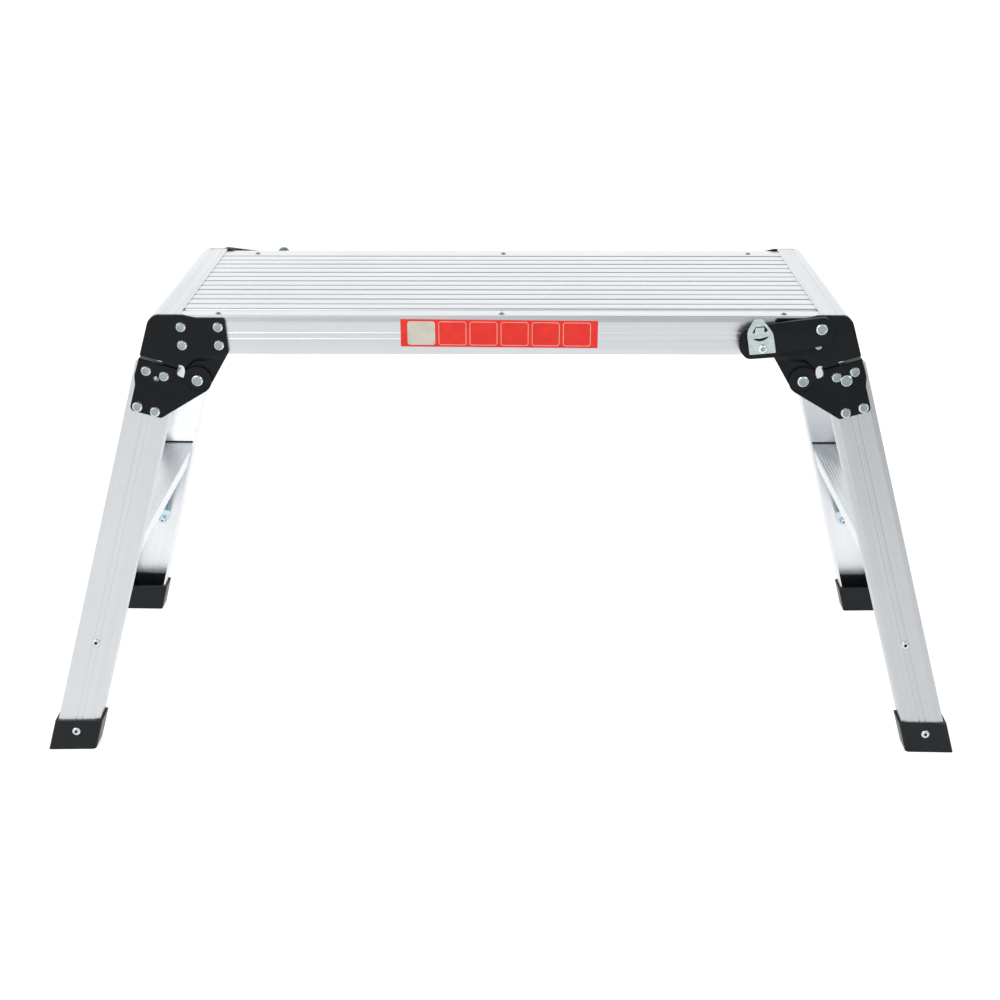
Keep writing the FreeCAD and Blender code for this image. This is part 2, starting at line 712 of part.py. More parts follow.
def lever():
    # A pressed channel that is open towards the rail, with a grip at its free end.
    corners = [
        (-82.0, -1.4, 4.0),
        (-50.0, 5.6, 20.0),
        (11.5, 13.4, 9.5),
        (11.5, -17.0, 7.0),
        (-44.8, -26.8, 1.0),
        (-45.6, -31.0, 1.0),
        (-74.5, -33.3, 4.0),
        (-85.8, -12.5, 12.0),
    ]
    outline = rounded_face(corners, lambda a, b: from_lever(a, b, LEVER_FACE))
    body = outline.extrude(V(0, LEVER_DEPTH, 0))
    hollow = outline.makeOffset2D(-LEVER_WALL)
    hollow.translate(V(0, LEVER_WALL, 0))
    body = body.cut(hollow.extrude(V(0, LEVER_DEPTH, 0)))
    return body.cut(cylinder_y(
        PIVOT_X + LEVER_OUT, PIVOT_Z + LEVER_UP, LEVER_PIN_RADIUS, LEVER_FACE - 1, LEVER_BACK))


def catch():
    # A spring clip riveted to the free end of the lever.
    corners = [
        (-74.2, -27.6, 1.0),
        (-77.8, -4.5, 12.0),
        (-72.2, 12.0, 5.0),
        (-59.5, 12.0, 5.0),
        (-53.0, 1.0, 12.0),
        (-46.2, -26.4, 1.0),
    ]
    sheet = rounded_face(corners, lambda a, b: from_lever(a, b, LEVER_FACE - CATCH_THICKNESS))
    body = sheet.extrude(V(0, CATCH_THICKNESS, 0))
    openings = (
        [(-71.8, -3.8), (-68.4, -3.8), (-69.0, 0.6)],
        [(-60.6, -2.0), (-56.2, -1.6), (-59.2, 3.0)],
        [(-71.0, -10.2), (-64.4, -12.4), (-56.0, -8.0), (-64.2, -10.4)],
    )
    for points in openings:
        window = face([from_lever(a, b, LEVER_FACE - CATCH_THICKNESS - 1) for a, b in points])
        body = body.cut(window.extrude(V(0, CATCH_THICKNESS + 2, 0)))
    return body


def lock_arm():
    # The arm behind the rail that the lever turns: its edge bears beside the
    # lock pin of the leg.
    front = FLANGE_BACK + ARM_GAP
    pin = on_hinge(LOCK_PIN_OUT, LOCK_PIN_DOWN, 0) - V(PIVOT_X, 0, PIVOT_Z)
    edge = pin.x - LOCK_PIN_RADIUS - ARM_CLEARANCE
    tip = pin.z - ARM_PAST_PIN
    corners = [
        (LEVER_OUT - ARM_BOSS_RADIUS, LEVER_UP, 0),
        (LEVER_OUT + ARM_BOSS_RADIUS, LEVER_UP, 0),
        (edge, pin.z + ARM_BEND_ABOVE_PIN, ARM_BEND_ROUND),
        (edge, tip, ARM_TIP_ROUND),
        (edge - ARM_WIDTH, tip, ARM_HEEL_ROUND),
        (edge - ARM_WIDTH, pin.z + ARM_BEND_ABOVE_PIN, ARM_BEND_ROUND),
    ]
    sheet = rounded_face(corners, lambda a, b: from_pivot(a, b, front))
    body = sheet.extrude(V(0, ARM_THICKNESS, 0))
    body = body.fuse(cylinder_y(
        PIVOT_X + LEVER_OUT, PIVOT_Z + LEVER_UP, ARM_BOSS_RADIUS, front, front + ARM_THICKNESS))
    body = body.cut(cylinder_y(
        PIVOT_X + LEVER_OUT, PIVOT_Z + LEVER_UP, LEVER_PIN_RADIUS, front - 1,
        front + ARM_THICKNESS + 1))
    return body.removeSplitter()


def lever_pin():
    x = PIVOT_X + LEVER_OUT
    z = PIVOT_Z + LEVER_UP
    back = FLANGE_BACK + ARM_GAP + ARM_THICKNESS
    body = cylinder_y(x, z, LEVER_PIN_HEAD_RADIUS, LEVER_FACE - LEVER_PIN_HEAD, LEVER_FACE)
    body = body.fuse(cylinder_y(x, z, LEVER_PIN_RADIUS, LEVER_FACE, back))
    body = body.fuse(cylinder_y(x, z, LEVER_PIN_HEAD_RADIUS, back, back + LEVER_PIN_HEAD))
    return body.removeSplitter()


def save(name, shapes):
    shape = shapes[0] if len(shapes) == 1 else Part.makeCompound(shapes)
    shape.exportStep("parts/" + name + ".step")


os.makedirs("parts", exist_ok=True)

front = rail()
save("front_rail", [front])
save("rear_rail", [mirror_x(mirror_y(front))])
for number in range(PLANK_COUNT):
    save("deck_plank_" + str(number + 1), [plank(number)])
save("left_cross_member", [cross_member(-MEMBER_X)])
save("middle_cross_member", [cross_member(0)])
save("right_cross_member", [cross_member(MEMBER_X)])
cap = end_cap()
save("right_end_cap", [cap])
save("left_end_cap", [mirror_x(cap)])

right_tread = tread()
brace = knee_brace()
pivot = pivot_pin()
shoe = foot()
pivots = []
for name, turn in CORNERS.items():
    locked = name in LOCKED
    save(name + "_upper_plate", [turn(upper_plate(locked))])
    save(name + "_lower_plate", [turn(lower_plate(locked))])
    save(name + "_stile", [turn(stile(locked))])
    save(name + "_foot", [turn(shoe)])
    pivots.append(turn(pivot))
save("hinge_pivots", pivots)

for side in ("left", "right"):
    turns = [turn for name, turn in CORNERS.items() if name.endswith(side)]
    save(side + "_tread", [right_tread if side == "right" else mirror_x(right_tread)])
    save(side + "_knee_braces", [turn(brace) for turn in turns])

for name in LOCKED:
    turn = CORNERS[name]
    save(name + "_lock_pin", [turn(lock_pin())])
    save(name + "_lever", [turn(lever())])
    save(name + "_lever_catch", [turn(catch())])
    save(name + "_lock_arm", [turn(lock_arm())])
    save(name + "_lever_pin", [turn(lever_pin())])
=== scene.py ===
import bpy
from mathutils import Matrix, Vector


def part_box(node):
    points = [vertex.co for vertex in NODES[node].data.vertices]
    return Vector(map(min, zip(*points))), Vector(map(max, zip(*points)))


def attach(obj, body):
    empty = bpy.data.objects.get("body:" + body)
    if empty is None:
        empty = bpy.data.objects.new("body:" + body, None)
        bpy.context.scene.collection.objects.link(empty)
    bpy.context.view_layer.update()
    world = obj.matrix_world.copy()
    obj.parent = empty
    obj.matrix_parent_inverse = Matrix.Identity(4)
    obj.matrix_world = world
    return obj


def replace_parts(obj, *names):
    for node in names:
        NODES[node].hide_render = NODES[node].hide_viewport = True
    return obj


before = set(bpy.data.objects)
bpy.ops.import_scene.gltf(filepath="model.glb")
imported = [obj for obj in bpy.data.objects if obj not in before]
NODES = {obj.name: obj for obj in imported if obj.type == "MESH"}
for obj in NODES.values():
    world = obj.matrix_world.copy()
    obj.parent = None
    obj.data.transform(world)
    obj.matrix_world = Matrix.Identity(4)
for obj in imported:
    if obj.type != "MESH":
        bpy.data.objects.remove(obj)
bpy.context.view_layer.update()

import math

import bmesh
import bpy
from mathutils import Matrix, Vector

# Folding work platform. Metres, +Z up, +X along the deck, the front faces -Y.

# Sizes shared with the CAD model
PIVOT_X = 0.323
PIVOT_Z = 0.430
WEB_FACE = -0.150
PLATE = 0.003
PLATE_FACE = WEB_FACE - PLATE
DECK_TOP = 0.500
CAP_TOP = 0.502
RAKE = math.radians(15.7)
SPLAY = math.radians(5.5)
LEVER_PIN = (PIVOT_X + 0.0138, PIVOT_Z + 0.0597)
LEVER_FACE = -0.162
CATCH_THICKNESS = 0.0015
LOCK_PIN = (0.0444, 0.0115)

ACROSS = Vector((math.cos(RAKE), 0, math.sin(RAKE)))
DOWN_FLAT = Vector((math.sin(RAKE), 0, -math.cos(RAKE)))
BACK = Vector((0, 1, 0))
DOWN = DOWN_FLAT * math.cos(SPLAY) - BACK * math.sin(SPLAY)
INWARD = BACK * math.cos(SPLAY) + DOWN_FLAT * math.sin(SPLAY)
PIVOT = Vector((PIVOT_X, WEB_FACE, PIVOT_Z))

CORNERS = {
    "front_right": (1, 1),
    "front_left": (-1, 1),
    "rear_right": (1, -1),
    "rear_left": (-1, -1),
}
LOCKED = ("front_right", "rear_left")


def turned(vector, corner):
    # A point or direction of the front right corner, taken to another corner.
    sx, sy = CORNERS[corner]
    return Vector((vector[0] * sx, vector[1] * sy, vector[2]))


def on_stile(across, down, inward):
    return PIVOT + ACROSS * across + DOWN * down + INWARD * inward


# Materials


class Nodes:
    def __init__(self, name):
        self.material = bpy.data.materials.new(name)
        self.material.use_nodes = True
        self.tree = self.material.node_tree
        self.shader = self.tree.nodes["Principled BSDF"]
        self.coords = self.tree.nodes.new("ShaderNodeTexCoord").outputs["Object"]

    def set(self, **values):
        for key, value in values.items():
            self.shader.inputs[key.replace("_", " ")].default_value = value

    def add(self, kind, inputs=None, **settings):
        node = self.tree.nodes.new(kind)
        for key, value in settings.items():
            setattr(node, key, value)
        for key, value in (inputs or {}).items():
            if isinstance(value, bpy.types.NodeSocket):
                self.tree.links.new(value, node.inputs[key])
            else:
                node.inputs[key].default_value = value
        return node

    def link(self, output, key):
        self.tree.links.new(output, self.shader.inputs[key])

    def mapped(self, scale, rotation=(0, 0, 0)):
        # Object coordinates turned first and then stretched.
        node = self.add("ShaderNodeMapping", {"Vector": self.coords}, vector_type="TEXTURE")
        node.inputs["Rotation"].default_value = rotation
        node.inputs["Scale"].default_value = [1 / value for value in scale]
        return node.outputs["Vector"]

    def noise(self, vector, scale, detail=3.0, roughness=0.6):
        node = self.add("ShaderNodeTexNoise", {
            "Vector": vector, "Scale": scale, "Detail": detail, "Roughness": roughness})
        return node.outputs["Fac"]

    def spread(self, value, low, high, start=0.35, end=0.65):
        node = self.add("ShaderNodeMapRange", {
            "Value": value, "From Min": start, "From Max": end, "To Min": low, "To Max": high})
        return node.outputs["Result"]

    def ramp(self, value, stops):
        node = self.add("ShaderNodeValToRGB", {"Fac": value})
        band = node.color_ramp
        while len(band.elements) < len(stops):
            band.elements.new(0.5)
        for element, (place, colour) in zip(band.elements, stops):
            element.position = place
            element.color = (*colour, 1)
        return node.outputs["Color"]

    def mix(self, factor, first, second, blend="MIX"):
        node = self.add("ShaderNodeMix", data_type="RGBA", blend_type=blend)
        for index, value in ((0, factor), (6, first), (7, second)):
            if isinstance(value, bpy.types.NodeSocket):
                self.tree.links.new(value, node.inputs[index])
            else:
                node.inputs[index].default_value = value
        return node.outputs[2]

    def bump(self, height, strength, distance):
        node = self.add("ShaderNodeBump", {
            "Height": height, "Strength": strength, "Distance": distance})
        self.link(node.outputs["Normal"], "Normal")


# How often a texture repeats in a metre: along the grain, then across it
DIE_LINES = (3.0, 900.0, 900.0)
DIE_BANDS = (0.8, 110.0, 110.0)
HANDLING_MARKS = (50.0, 500.0, 500.0)
STAINS = (9.0, 9.0, 9.0)
COATING_SCUFFS = (40.0, 300.0, 900.0)
SCUFF_TURN = (0.3, 0.5, 0.2)
EVEN = (1, 1, 1)


def grained_aluminium(name, along, light=0.8, rough=(0.30, 0.42)):
    # Extruded aluminium with fine die lines that run along the given direction.
    n = Nodes(name)
    turn = Vector(along).to_track_quat("X", "Z").to_euler()
    lines = n.noise(n.mapped(DIE_LINES, turn), 1.0, 2.0)
    bands = n.noise(n.mapped(DIE_BANDS, turn), 1.0, 2.0)
    cloud = n.noise(n.mapped(STAINS), 1.0, 4.0)
    scuff = n.noise(n.mapped(HANDLING_MARKS, turn), 1.0, 3.0)
    low = tuple(light * c for c in (0.918, 0.95, 0.975))
    high = tuple(light * c for c in (0.972, 0.995, 1.02))
    tone = n.ramp(bands, [(0.32, low), (0.68, high)])
    soft = n.ramp(cloud, [(0.35, (0.965, 0.967, 0.97)), (0.65, (1.0, 1.0, 1.0))])
    n.link(n.mix(1.0, tone, soft, "MULTIPLY"), "Base Color")
    n.set(Metallic=1.0)
    total = n.add("ShaderNodeMath", operation="ADD")
    n.tree.links.new(n.spread(lines, *rough), total.inputs[0])
    n.tree.links.new(n.spread(scuff, 0.0, 0.07, 0.55, 0.8), total.inputs[1])
    n.link(total.outputs[0], "Roughness")
    n.bump(lines, 0.25, 0.00008)
    return n.material


def satin_black(name):
    # Baked coating on pressed steel: faint orange peel, dust in places, thin scuffs.
    n = Nodes(name)
    peel = n.noise(n.mapped(EVEN), 900.0, 2.0)
    dust = n.noise(n.mapped(EVEN), 55.0, 5.0)
    scuff = n.noise(n.mapped(COATING_SCUFFS, SCUFF_TURN), 1.0, 3.0)
    tone = n.ramp(dust, [(0.4, (0.005, 0.0065, 0.008)), (0.75, (0.009, 0.0115, 0.014))])
    worn = n.ramp(scuff, [(0.72, (0.0, 0.0, 0.0)), (0.82, (0.02, 0.021, 0.023))])
    n.link(n.mix(1.0, tone, worn, "ADD"), "Base Color")
    n.set(Specular_IOR_Level=0.14)
    n.link(n.spread(dust, 0.24, 0.36), "Roughness")
    n.bump(peel, 0.2, 0.00005)
    return n.material


def bright_zinc(name, low=(0.50, 0.56, 0.58), high=(0.64, 0.70, 0.72), rough=(0.22, 0.40)):
    n = Nodes(name)
    cloud = n.noise(n.mapped(EVEN), 160.0, 4.0)
    spangle = n.add("ShaderNodeTexVoronoi", {"Vector": n.mapped(EVEN), "Scale": 420.0})
    n.link(n.ramp(cloud, [(0.35, low), (0.65, high)]), "Base Color")
    n.set(Metallic=1.0)
    n.link(n.spread(spangle.outputs["Distance"], *rough, 0.0, 0.8), "Roughness")
    n.bump(cloud, 0.15, 0.00006)
    return n.material


def moulded_plastic(name, light=1.0):
    n = Nodes(name)
    grain = n.noise(n.mapped(EVEN), 1400.0, 2.0)
    cloud = n.noise(n.mapped(EVEN), 40.0, 4.0)
    tone = n.ramp(cloud, [
        (0.35, tuple(light * c for c in (0.010, 0.0125, 0.0135))),
        (0.7, tuple(light * c for c in (0.016, 0.019, 0.021)))])
    n.link(tone, "Base Color")
    n.set(Specular_IOR_Level=0.18)
    n.link(n.spread(cloud, 0.30, 0.42), "Roughness")
    n.bump(grain, 0.35, 0.00008)
    return n.material


def vinyl(name, deep, bright, roughness=0.32):
    # Printed sticker film with a little mottling under a clear coat.
    n = Nodes(name)
    cloud = n.noise(n.mapped(EVEN), 90.0, 4.0)
    fine = n.noise(n.mapped(EVEN), 1200.0, 2.0)
    n.link(n.ramp(cloud, [(0.35, deep), (0.65, bright)]), "Base Color")
    n.set(Specular_IOR_Level=0.3)
    n.link(n.spread(fine, roughness - 0.05, roughness + 0.08), "Roughness")
    n.bump(fine, 0.15, 0.00004)
    return n.material


alloy_x = grained_aluminium("alloy_along_deck", (1, 0, 0), 0.66)
# A lighter copy of the deck alloy: painted light on the deck's top, the rail's top and the upward
# sides of its grooves.
alloy_lit_top = grained_aluminium("alloy_deck_top_painted_light", (1, 0, 0), 0.95, (0.26, 0.36))
# A darker copy of the deck alloy: painted shade on the floor of the rail's ledge beside the first
# plank.
alloy_shaded = grained_aluminium("alloy_painted_shade", (1, 0, 0), 0.36, (0.40, 0.52))
alloy_y = grained_aluminium("alloy_across_deck", (0, 1, 0), 0.93)
alloy_tread = grained_aluminium("alloy_tread", (0, 1, 0), 0.86)
black = satin_black("satin_black")
zinc = bright_zinc("bright_zinc")
# Lighter and darker copies of the zinc: painted highlight on the sloped rims of rivet and pin
# heads, painted shade on their flat centres and on the screws sunk in the deck's joints.
zinc_highlight = bright_zinc("zinc_painted_highlight", (0.72, 0.78, 0.79), (0.84, 0.89, 0.90), (0.18, 0.30))
zinc_shade = bright_zinc("zinc_painted_shade", (0.27, 0.33, 0.335), (0.36, 0.42, 0.43), (0.32, 0.46))
zinc_blue = bright_zinc("blue_zinc", (0.52, 0.64, 0.70), (0.66, 0.78, 0.84), (0.24, 0.36))
plastic = moulded_plastic("charcoal_plastic")
# A black that stands for shade: painted shade in the hollow centres of rivets and bolts and in the
# gaps beside the treads.
shade_black = moulded_plastic("black_painted_shade", 0.6)
red_film = vinyl("red_film", (0.86, 0.030, 0.022), (0.93, 0.044, 0.030))
cream_film = vinyl("cream_film", (0.66, 0.63, 0.54), (0.74, 0.71, 0.62))
zinc_catch = bright_zinc("catch_zinc", (0.44, 0.51, 0.52), (0.56, 0.63, 0.64), (0.26, 0.40))
pale_film = vinyl("pale_film", (0.86, 0.52, 0.42), (0.92, 0.60, 0.50))
alloy_rivet = grained_aluminium("alloy_rivet", (0, 0, 1), 0.70)
# Each stile's alloy is lighter or darker for the light that falls on its corner: painted light and
# shade, darkest at the front right.
STILE_PAINTED_LIGHT = {"front_left": 0.66, "front_right": 0.56, "rear_left": 0.84, "rear_right": 0.84}
stile_alloy = {
    name: grained_aluminium("alloy_" + name, turned(DOWN, name), light)
    for name, light in STILE_PAINTED_LIGHT.items()}


def dress(name, material):
    node = NODES[name]
    if not node.material_slots:
        node.data.materials.append(material)
    for place in node.material_slots:
        place.material = material


for name in NODES:
    if name.endswith("_stile"):
        dress(name, stile_alloy[name[:-6]])
    elif name.endswith(("_plate", "_lever", "_lock_arm")):
        dress(name, black)
    elif name.endswith("_foot"):
        dress(name, plastic)
    elif name.endswith("_braces"):
        dress(name, zinc_blue)
    elif name.endswith(("_catch", "_pin", "_pivots")):
        dress(name, zinc)
    elif name.endswith("_tread"):
        dress(name, alloy_tread)
    elif name.endswith("_rail"):
        dress(name, alloy_x)
    elif name.startswith("deck_plank"):
        dress(name, alloy_lit_top)
    else:
        dress(name, alloy_y)


# Making pieces


def finish_piece(name, mesh, material, body, sharp=30):
    mesh.shade_smooth()
    mesh.set_sharp_from_angle(angle=math.radians(sharp))
    piece = bpy.data.objects.new(name, mesh)
    bpy.context.scene.collection.objects.link(piece)
    for item in material if isinstance(material, (list, tuple)) else [material]:
        mesh.materials.append(item)
    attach(piece, body)
    return piece


def lathe(bm, profile, centre, axis, segments=40):
    # Adds a turned shape. The profile's points are (radius, height along the axis)
    # and may name the material of the band that ends there.
    axis = Vector(axis).normalized()
    side = axis.orthogonal().normalized()
    other = axis.cross(side)
    rings = []
    for radius, height, *_ in profile:
        base = Vector(centre) + axis * height
        if radius == 0:
            rings.append([bm.verts.new(base)])
            continue
        ring = []
        for i in range(segments):
            angle = 2 * math.pi * i / segments
            ring.append(bm.verts.new(
                base + (side * math.cos(angle) + other * math.sin(angle)) * radius))
        rings.append(ring)
    for low, high, point in zip(rings, rings[1:], profile[1:]):
        material = point[2] if len(point) > 2 else 0
        for i in range(segments):
            j = (i + 1) % segments
            if len(low) == 1:
                made = bm.faces.new((low[0], high[j], high[i]))
            elif len(high) == 1:
                made = bm.faces.new((low[i], low[j], high[0]))
            else:
                made = bm.faces.new((low[i], low[j], high[j], high[i]))
            made.material_index = material


def join_rings(bm, rings):
    # Skins rings of equally many points, and closes the two ends.
    for first, second in zip(rings, rings[1:]):
        for i in range(len(first)):
            j = (i + 1) % len(first)
            bm.faces.new((first[i], first[j], second[j], second[i]))
    bm.faces.new(rings[0][::-1])
    bm.faces.new(rings[-1])


def to_corner(mesh, corner):
    # Takes a mesh made for the front right corner to the other locked corner.
    if corner == "rear_left":
        mesh.transform(Matrix.Rotation(math.pi, 4, "Z"))


def turned_piece(name, shapes, material, body):
    mesh = bpy.data.meshes.new(name)
    bm = bmesh.new()
    for profile, centre, axis in shapes:
        lathe(bm, profile, centre, axis)
    bm.to_mesh(mesh)
    bm.free()
    return finish_piece(name, mesh, material, body)


def rounded(corners, steps=7):
    # The outline of a polygon whose corners are (x, z, radius).
    points = []
    count = len(corners)
    for i, (x, z, radius) in enumerate(corners):
        corner = Vector((x, z))
        if radius <= 0:
            points.append(corner)
            continue
        before = (Vector(corners[i - 1][:2]) - corner).normalized()
        after = (Vector(corners[(i + 1) % count][:2]) - corner).normalized()
        half = before.angle(after) / 2
        run = radius / math.tan(half)
        centre = corner + (before + after).normalized() * (radius / math.sin(half))
        start = corner + before * run - centre
        end = corner + after * run - centre
        sweep = math.atan2(start.x * end.y - start.y * end.x, start.dot(end))
        for k in range(steps + 1):
            angle = sweep * k / steps
            points.append(centre + Vector((
                start.x * math.cos(angle) - start.y * math.sin(angle),
                start.x * math.sin(angle) + start.y * math.cos(angle))))
    return points


def sheet_mesh(name, outlines, thickness, bevel):
    # A flat plate in the XZ plane with softened edges, its back on y = 0 and its
    # front towards -Y. Outlines after the first are openings.
    curve = bpy.data.curves.new(name, "CURVE")
    curve.dimensions = "2D"
    curve.fill_mode = "BOTH"
    curve.extrude = thickness / 2 - bevel
    curve.bevel_depth = bevel
    curve.bevel_resolution = 2
    curve.offset = -bevel
    for outline in outlines:
        spline = curve.splines.new("POLY")
        spline.points.add(len(outline) - 1)
        for point, place in zip(spline.points, outline):
            point.co = (place[0], place[1], 0, 1)
        spline.use_cyclic_u = True
    holder = bpy.data.objects.new(name + "_curve", curve)
    bpy.context.scene.collection.objects.link(holder)
    bpy.context.view_layer.update()
    mesh = bpy.data.meshes.new_from_object(holder.evaluated_get(
        bpy.context.evaluated_depsgraph_get()))
    bpy.data.objects.remove(holder)
    bpy.data.curves.remove(curve)
    mesh.name = name
    turn = Matrix.Rotation(math.radians(90), 4, "X")
    mesh.transform(Matrix.Translation((0, -thickness / 2, 0)) @ turn)
    return mesh


# Rivets, pins and screws

PLATE_RIVET = [
    (0.0055, -0.0004), (0.0055, 0.0006, 1), (0.0052, 0.0011, 1), (0.0043, 0.0020, 1),
    (0.0039, 0.0021, 1), (0.0037, 0.0018, 2), (0.0020, 0.0017, 2), (0.0, 0.0018, 2)]
SMALL_RIVET = [(point[0] * 0.72, *point[1:]) for point in PLATE_RIVET]
BLIND_RIVET = [
    (0.0047, -0.0003), (0.0047, 0.0002), (0.0044, 0.0007), (0.0034, 0.0013),
    (0.0024, 0.0015), (0.0018, 0.0012), (0.0016, 0.0004, 1), (0.0007, 0.0002, 1),
    (0.0, 0.0006, 1)]
DECK_RIVET = [
    (0.0036, -0.0004), (0.0036, 0.0001), (0.0031, 0.0006), (0.0020, 0.0010),
    (0.0014, 0.0009, 1), (0.0012, 0.0001, 1), (0.0, 0.0001, 1)]

RAIL_RIVETS = [(0.0135, 0.0586), (0.0135, 0.0387), (-0.0257, 0.0586), (-0.0257, 0.0387)]
STILE_RIVETS = [(0.0354, 0.0057), (0.0550, 0.0050), (0.0366, 0.0462), (0.0558, 0.0458)]

deck_heads = []
leg_heads = {"left": [], "right": []}
for corner in CORNERS:
    outward = turned((0, -1, 0), corner)
    for index, (out, up) in enumerate(RAIL_RIVETS):
        if corner in LOCKED and index == 0:
            continue
        place = turned((PIVOT_X + out, PLATE_FACE, PIVOT_Z + up), corner)
        under_lever = corner in LOCKED and index == 1
        deck_heads.append((SMALL_RIVET if under_lever else PLATE_RIVET, place, outward))
    side = corner.split("_")[1]
    for across, down in STILE_RIVETS:
        place = turned(on_stile(across, down, -PLATE), corner)
        leg_heads[side].append((PLATE_RIVET, place, turned(-INWARD, corner)))
# Band 1 of a head profile takes the painted highlight, band 2 the painted shade.
head_zinc = [zinc, zinc_highlight, zinc_shade]
turned_piece("rail_plate_rivets", deck_heads, head_zinc, "deck")
for side in leg_heads:
    turned_piece(side + "_stile_plate_rivets", leg_heads[side], head_zinc, side + "_leg")

PIVOT_INNER = -0.1442
PIVOT_PROFILE = [
    (0.0, 0.0), (0.0050, 0.0), (0.0060, 0.0007), (0.0062, 0.0014), (0.0062, 0.0025),
    (0.0040, 0.0025), (0.0040, 0.00895), (0.0062, 0.00895), (0.0062, 0.0104, 1),
    (0.0059, 0.0111, 1), (0.0052, 0.01165, 1), (0.0049, 0.01175, 1), (0.0047, 0.0114, 2),
    (0.0026, 0.0113, 2), (0.0, 0.0114, 2)]
pivots = [
    (PIVOT_PROFILE, turned((PIVOT_X, PIVOT_INNER, PIVOT_Z), corner), turned((0, -1, 0), corner))
    for corner in CORNERS]
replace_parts(turned_piece("pivot_pins", pivots, head_zinc, "deck"), "hinge_pivots")

LEVER_PIN_PROFILE = [
    (0.0, 0.0), (0.0052, 0.0), (0.0060, 0.0008), (0.0060, 0.0020), (0.0040, 0.0020),
    (0.0040, 0.0255), (0.0060, 0.0255), (0.0060, 0.0266, 1), (0.0057, 0.0271, 1),
    (0.0051, 0.0275, 1), (0.0048, 0.0275, 1), (0.0046, 0.0272, 2), (0.0, 0.0271, 2)]
LEVER_PIN_INNER = -0.1365
LOCK_PIN_LENGTH = 0.0184
LOCK_PIN_PROFILE = [
    (0.0, 0.0), (0.0034, 0.0), (0.0040, 0.0006), (0.0040, LOCK_PIN_LENGTH),
    (0.0061, LOCK_PIN_LENGTH), (0.0061, LOCK_PIN_LENGTH + 0.0024, 1),
    (0.0058, LOCK_PIN_LENGTH + 0.0028, 1), (0.0053, LOCK_PIN_LENGTH + 0.0030, 1),
    (0.0051, LOCK_PIN_LENGTH + 0.0028, 2), (0.0, LOCK_PIN_LENGTH + 0.0027, 2)]
for corner in LOCKED:
    x, z = LEVER_PIN
    shape = (LEVER_PIN_PROFILE, turned((x, LEVER_PIN_INNER, z), corner), turned((0, -1, 0), corner))
    pin = turned_piece(
        corner + "_lever_pin_turned", [shape], head_zinc, corner + "_lever")
    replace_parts(pin, corner + "_lever_pin")
    start = on_stile(LOCK_PIN[0], LOCK_PIN[1], -PLATE) + INWARD * LOCK_PIN_LENGTH
    shape = (LOCK_PIN_PROFILE, turned(start, corner), turned(-INWARD, corner))
    body = corner.split("_")[1] + "_leg"
    pin = turned_piece(corner + "_lock_pin_turned", [shape], head_zinc, body)
    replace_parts(pin, corner + "_lock_pin")

# Blind rivets of the feet and the knee braces, with their ends inside the channels
WALL = 0.002
FOOT_LINER = 0.0025
BRACE_THICKNESS = 0.0025
STILE_MIDDLE = 0.0455
RIVET_TAIL = [
    (0.0030, -0.0005), (0.0032, 0.0010), (0.0030, 0.0026), (0.0022, 0.0034), (0.0012, 0.0036),
    (0.0011, 0.0042, 1), (0.0, 0.0042, 1)]
BRACE_BOLT = [
    (0.0052, -0.0003), (0.0052, 0.0008), (0.0042, 0.0010), (0.0040, 0.0042), (0.0034, 0.0048),
    (0.0013, 0.0048), (0.0011, 0.0030, 1), (0.0, 0.0030, 1)]


def down_stile(height):
    # How far down the middle of the stile a height above the floor lies.
    return (PIVOT_Z + STILE_MIDDLE * math.sin(RAKE) - height) / (math.cos(RAKE) * math.cos(SPLAY))


FOOT_WALL = 0.003
FOOT_RIVET_HEIGHT = 0.022
BRACE_RIVET_HEIGHT = 0.1288
for side in ("left", "right"):
    heads = []
    tails = []
    for corner in CORNERS:
        if not corner.endswith(side):
            continue
        for height, lift, back in (
                (FOOT_RIVET_HEIGHT, FOOT_WALL, WALL + FOOT_LINER),
                (BRACE_RIVET_HEIGHT, 0.0, WALL + BRACE_THICKNESS)):
            down = down_stile(height)
            heads.append((BLIND_RIVET, turned(on_stile(STILE_MIDDLE, down, -lift), corner),
                          turned(-INWARD, corner)))
            profile = RIVET_TAIL if lift else BRACE_BOLT
            tails.append((profile, turned(on_stile(STILE_MIDDLE, down, back), corner),
                          turned(INWARD, corner)))
    # Band 1 of these profiles takes the black: painted shade in the hollow centres.
    turned_piece(side + "_leg_blind_rivets", heads, [alloy_rivet, shade_black], side + "_leg")
    turned_piece(side + "_leg_rivet_ends", tails, [zinc_blue, shade_black], side + "_leg")

# Small rivets on top of the deck
DECK_RIVET_X = (-0.298, 0.002, 0.300)
DECK_RIVET_Y = (-0.1405, 0.1330)
CAP_RIVET_X = 0.3475
CAP_RIVET_Y = (-0.1330, 0.1370)
CAP_RIVET_SINK = 0.0012
shapes = []
for y in DECK_RIVET_Y:
    for x in DECK_RIVET_X:
        shapes.append((DECK_RIVET, (x, y, DECK_TOP), (0, 0, 1)))
for x in (-CAP_RIVET_X, CAP_RIVET_X):
    for y in CAP_RIVET_Y:
        shapes.append((DECK_RIVET, (x, y, CAP_TOP - CAP_RIVET_SINK), (0, 0, 1)))
# The rivets' hollow centres take the black: painted shade.
turned_piece("deck_top_rivets", shapes, [zinc_blue, shade_black], "deck")

# Extruded deck: rails and planks with softened edges


EXTRUSION_SHARP = 50


def extrusion(name, sections, material, body):
    # Runs sections in the YZ plane along the deck. A section is (outline, low, high).
    mesh = bpy.data.meshes.new(name)
    bm = bmesh.new()
    for outline, low, high in sections:
        ends = [[bm.verts.new((x, y, z)) for y, z in outline] for x in (low, high)]
        count = len(outline)
        for i in range(count):
            j = (i + 1) % count
            bm.faces.new((ends[0][i], ends[0][j], ends[1][j], ends[1][i]))
        bm.faces.new(ends[0][::-1])
        bm.faces.new(ends[1])
    bmesh.ops.recalc_face_normals(bm, faces=bm.faces)
    bm.to_mesh(mesh)
    bm.free()
    return finish_piece(name, mesh, material, body, EXTRUSION_SHARP)


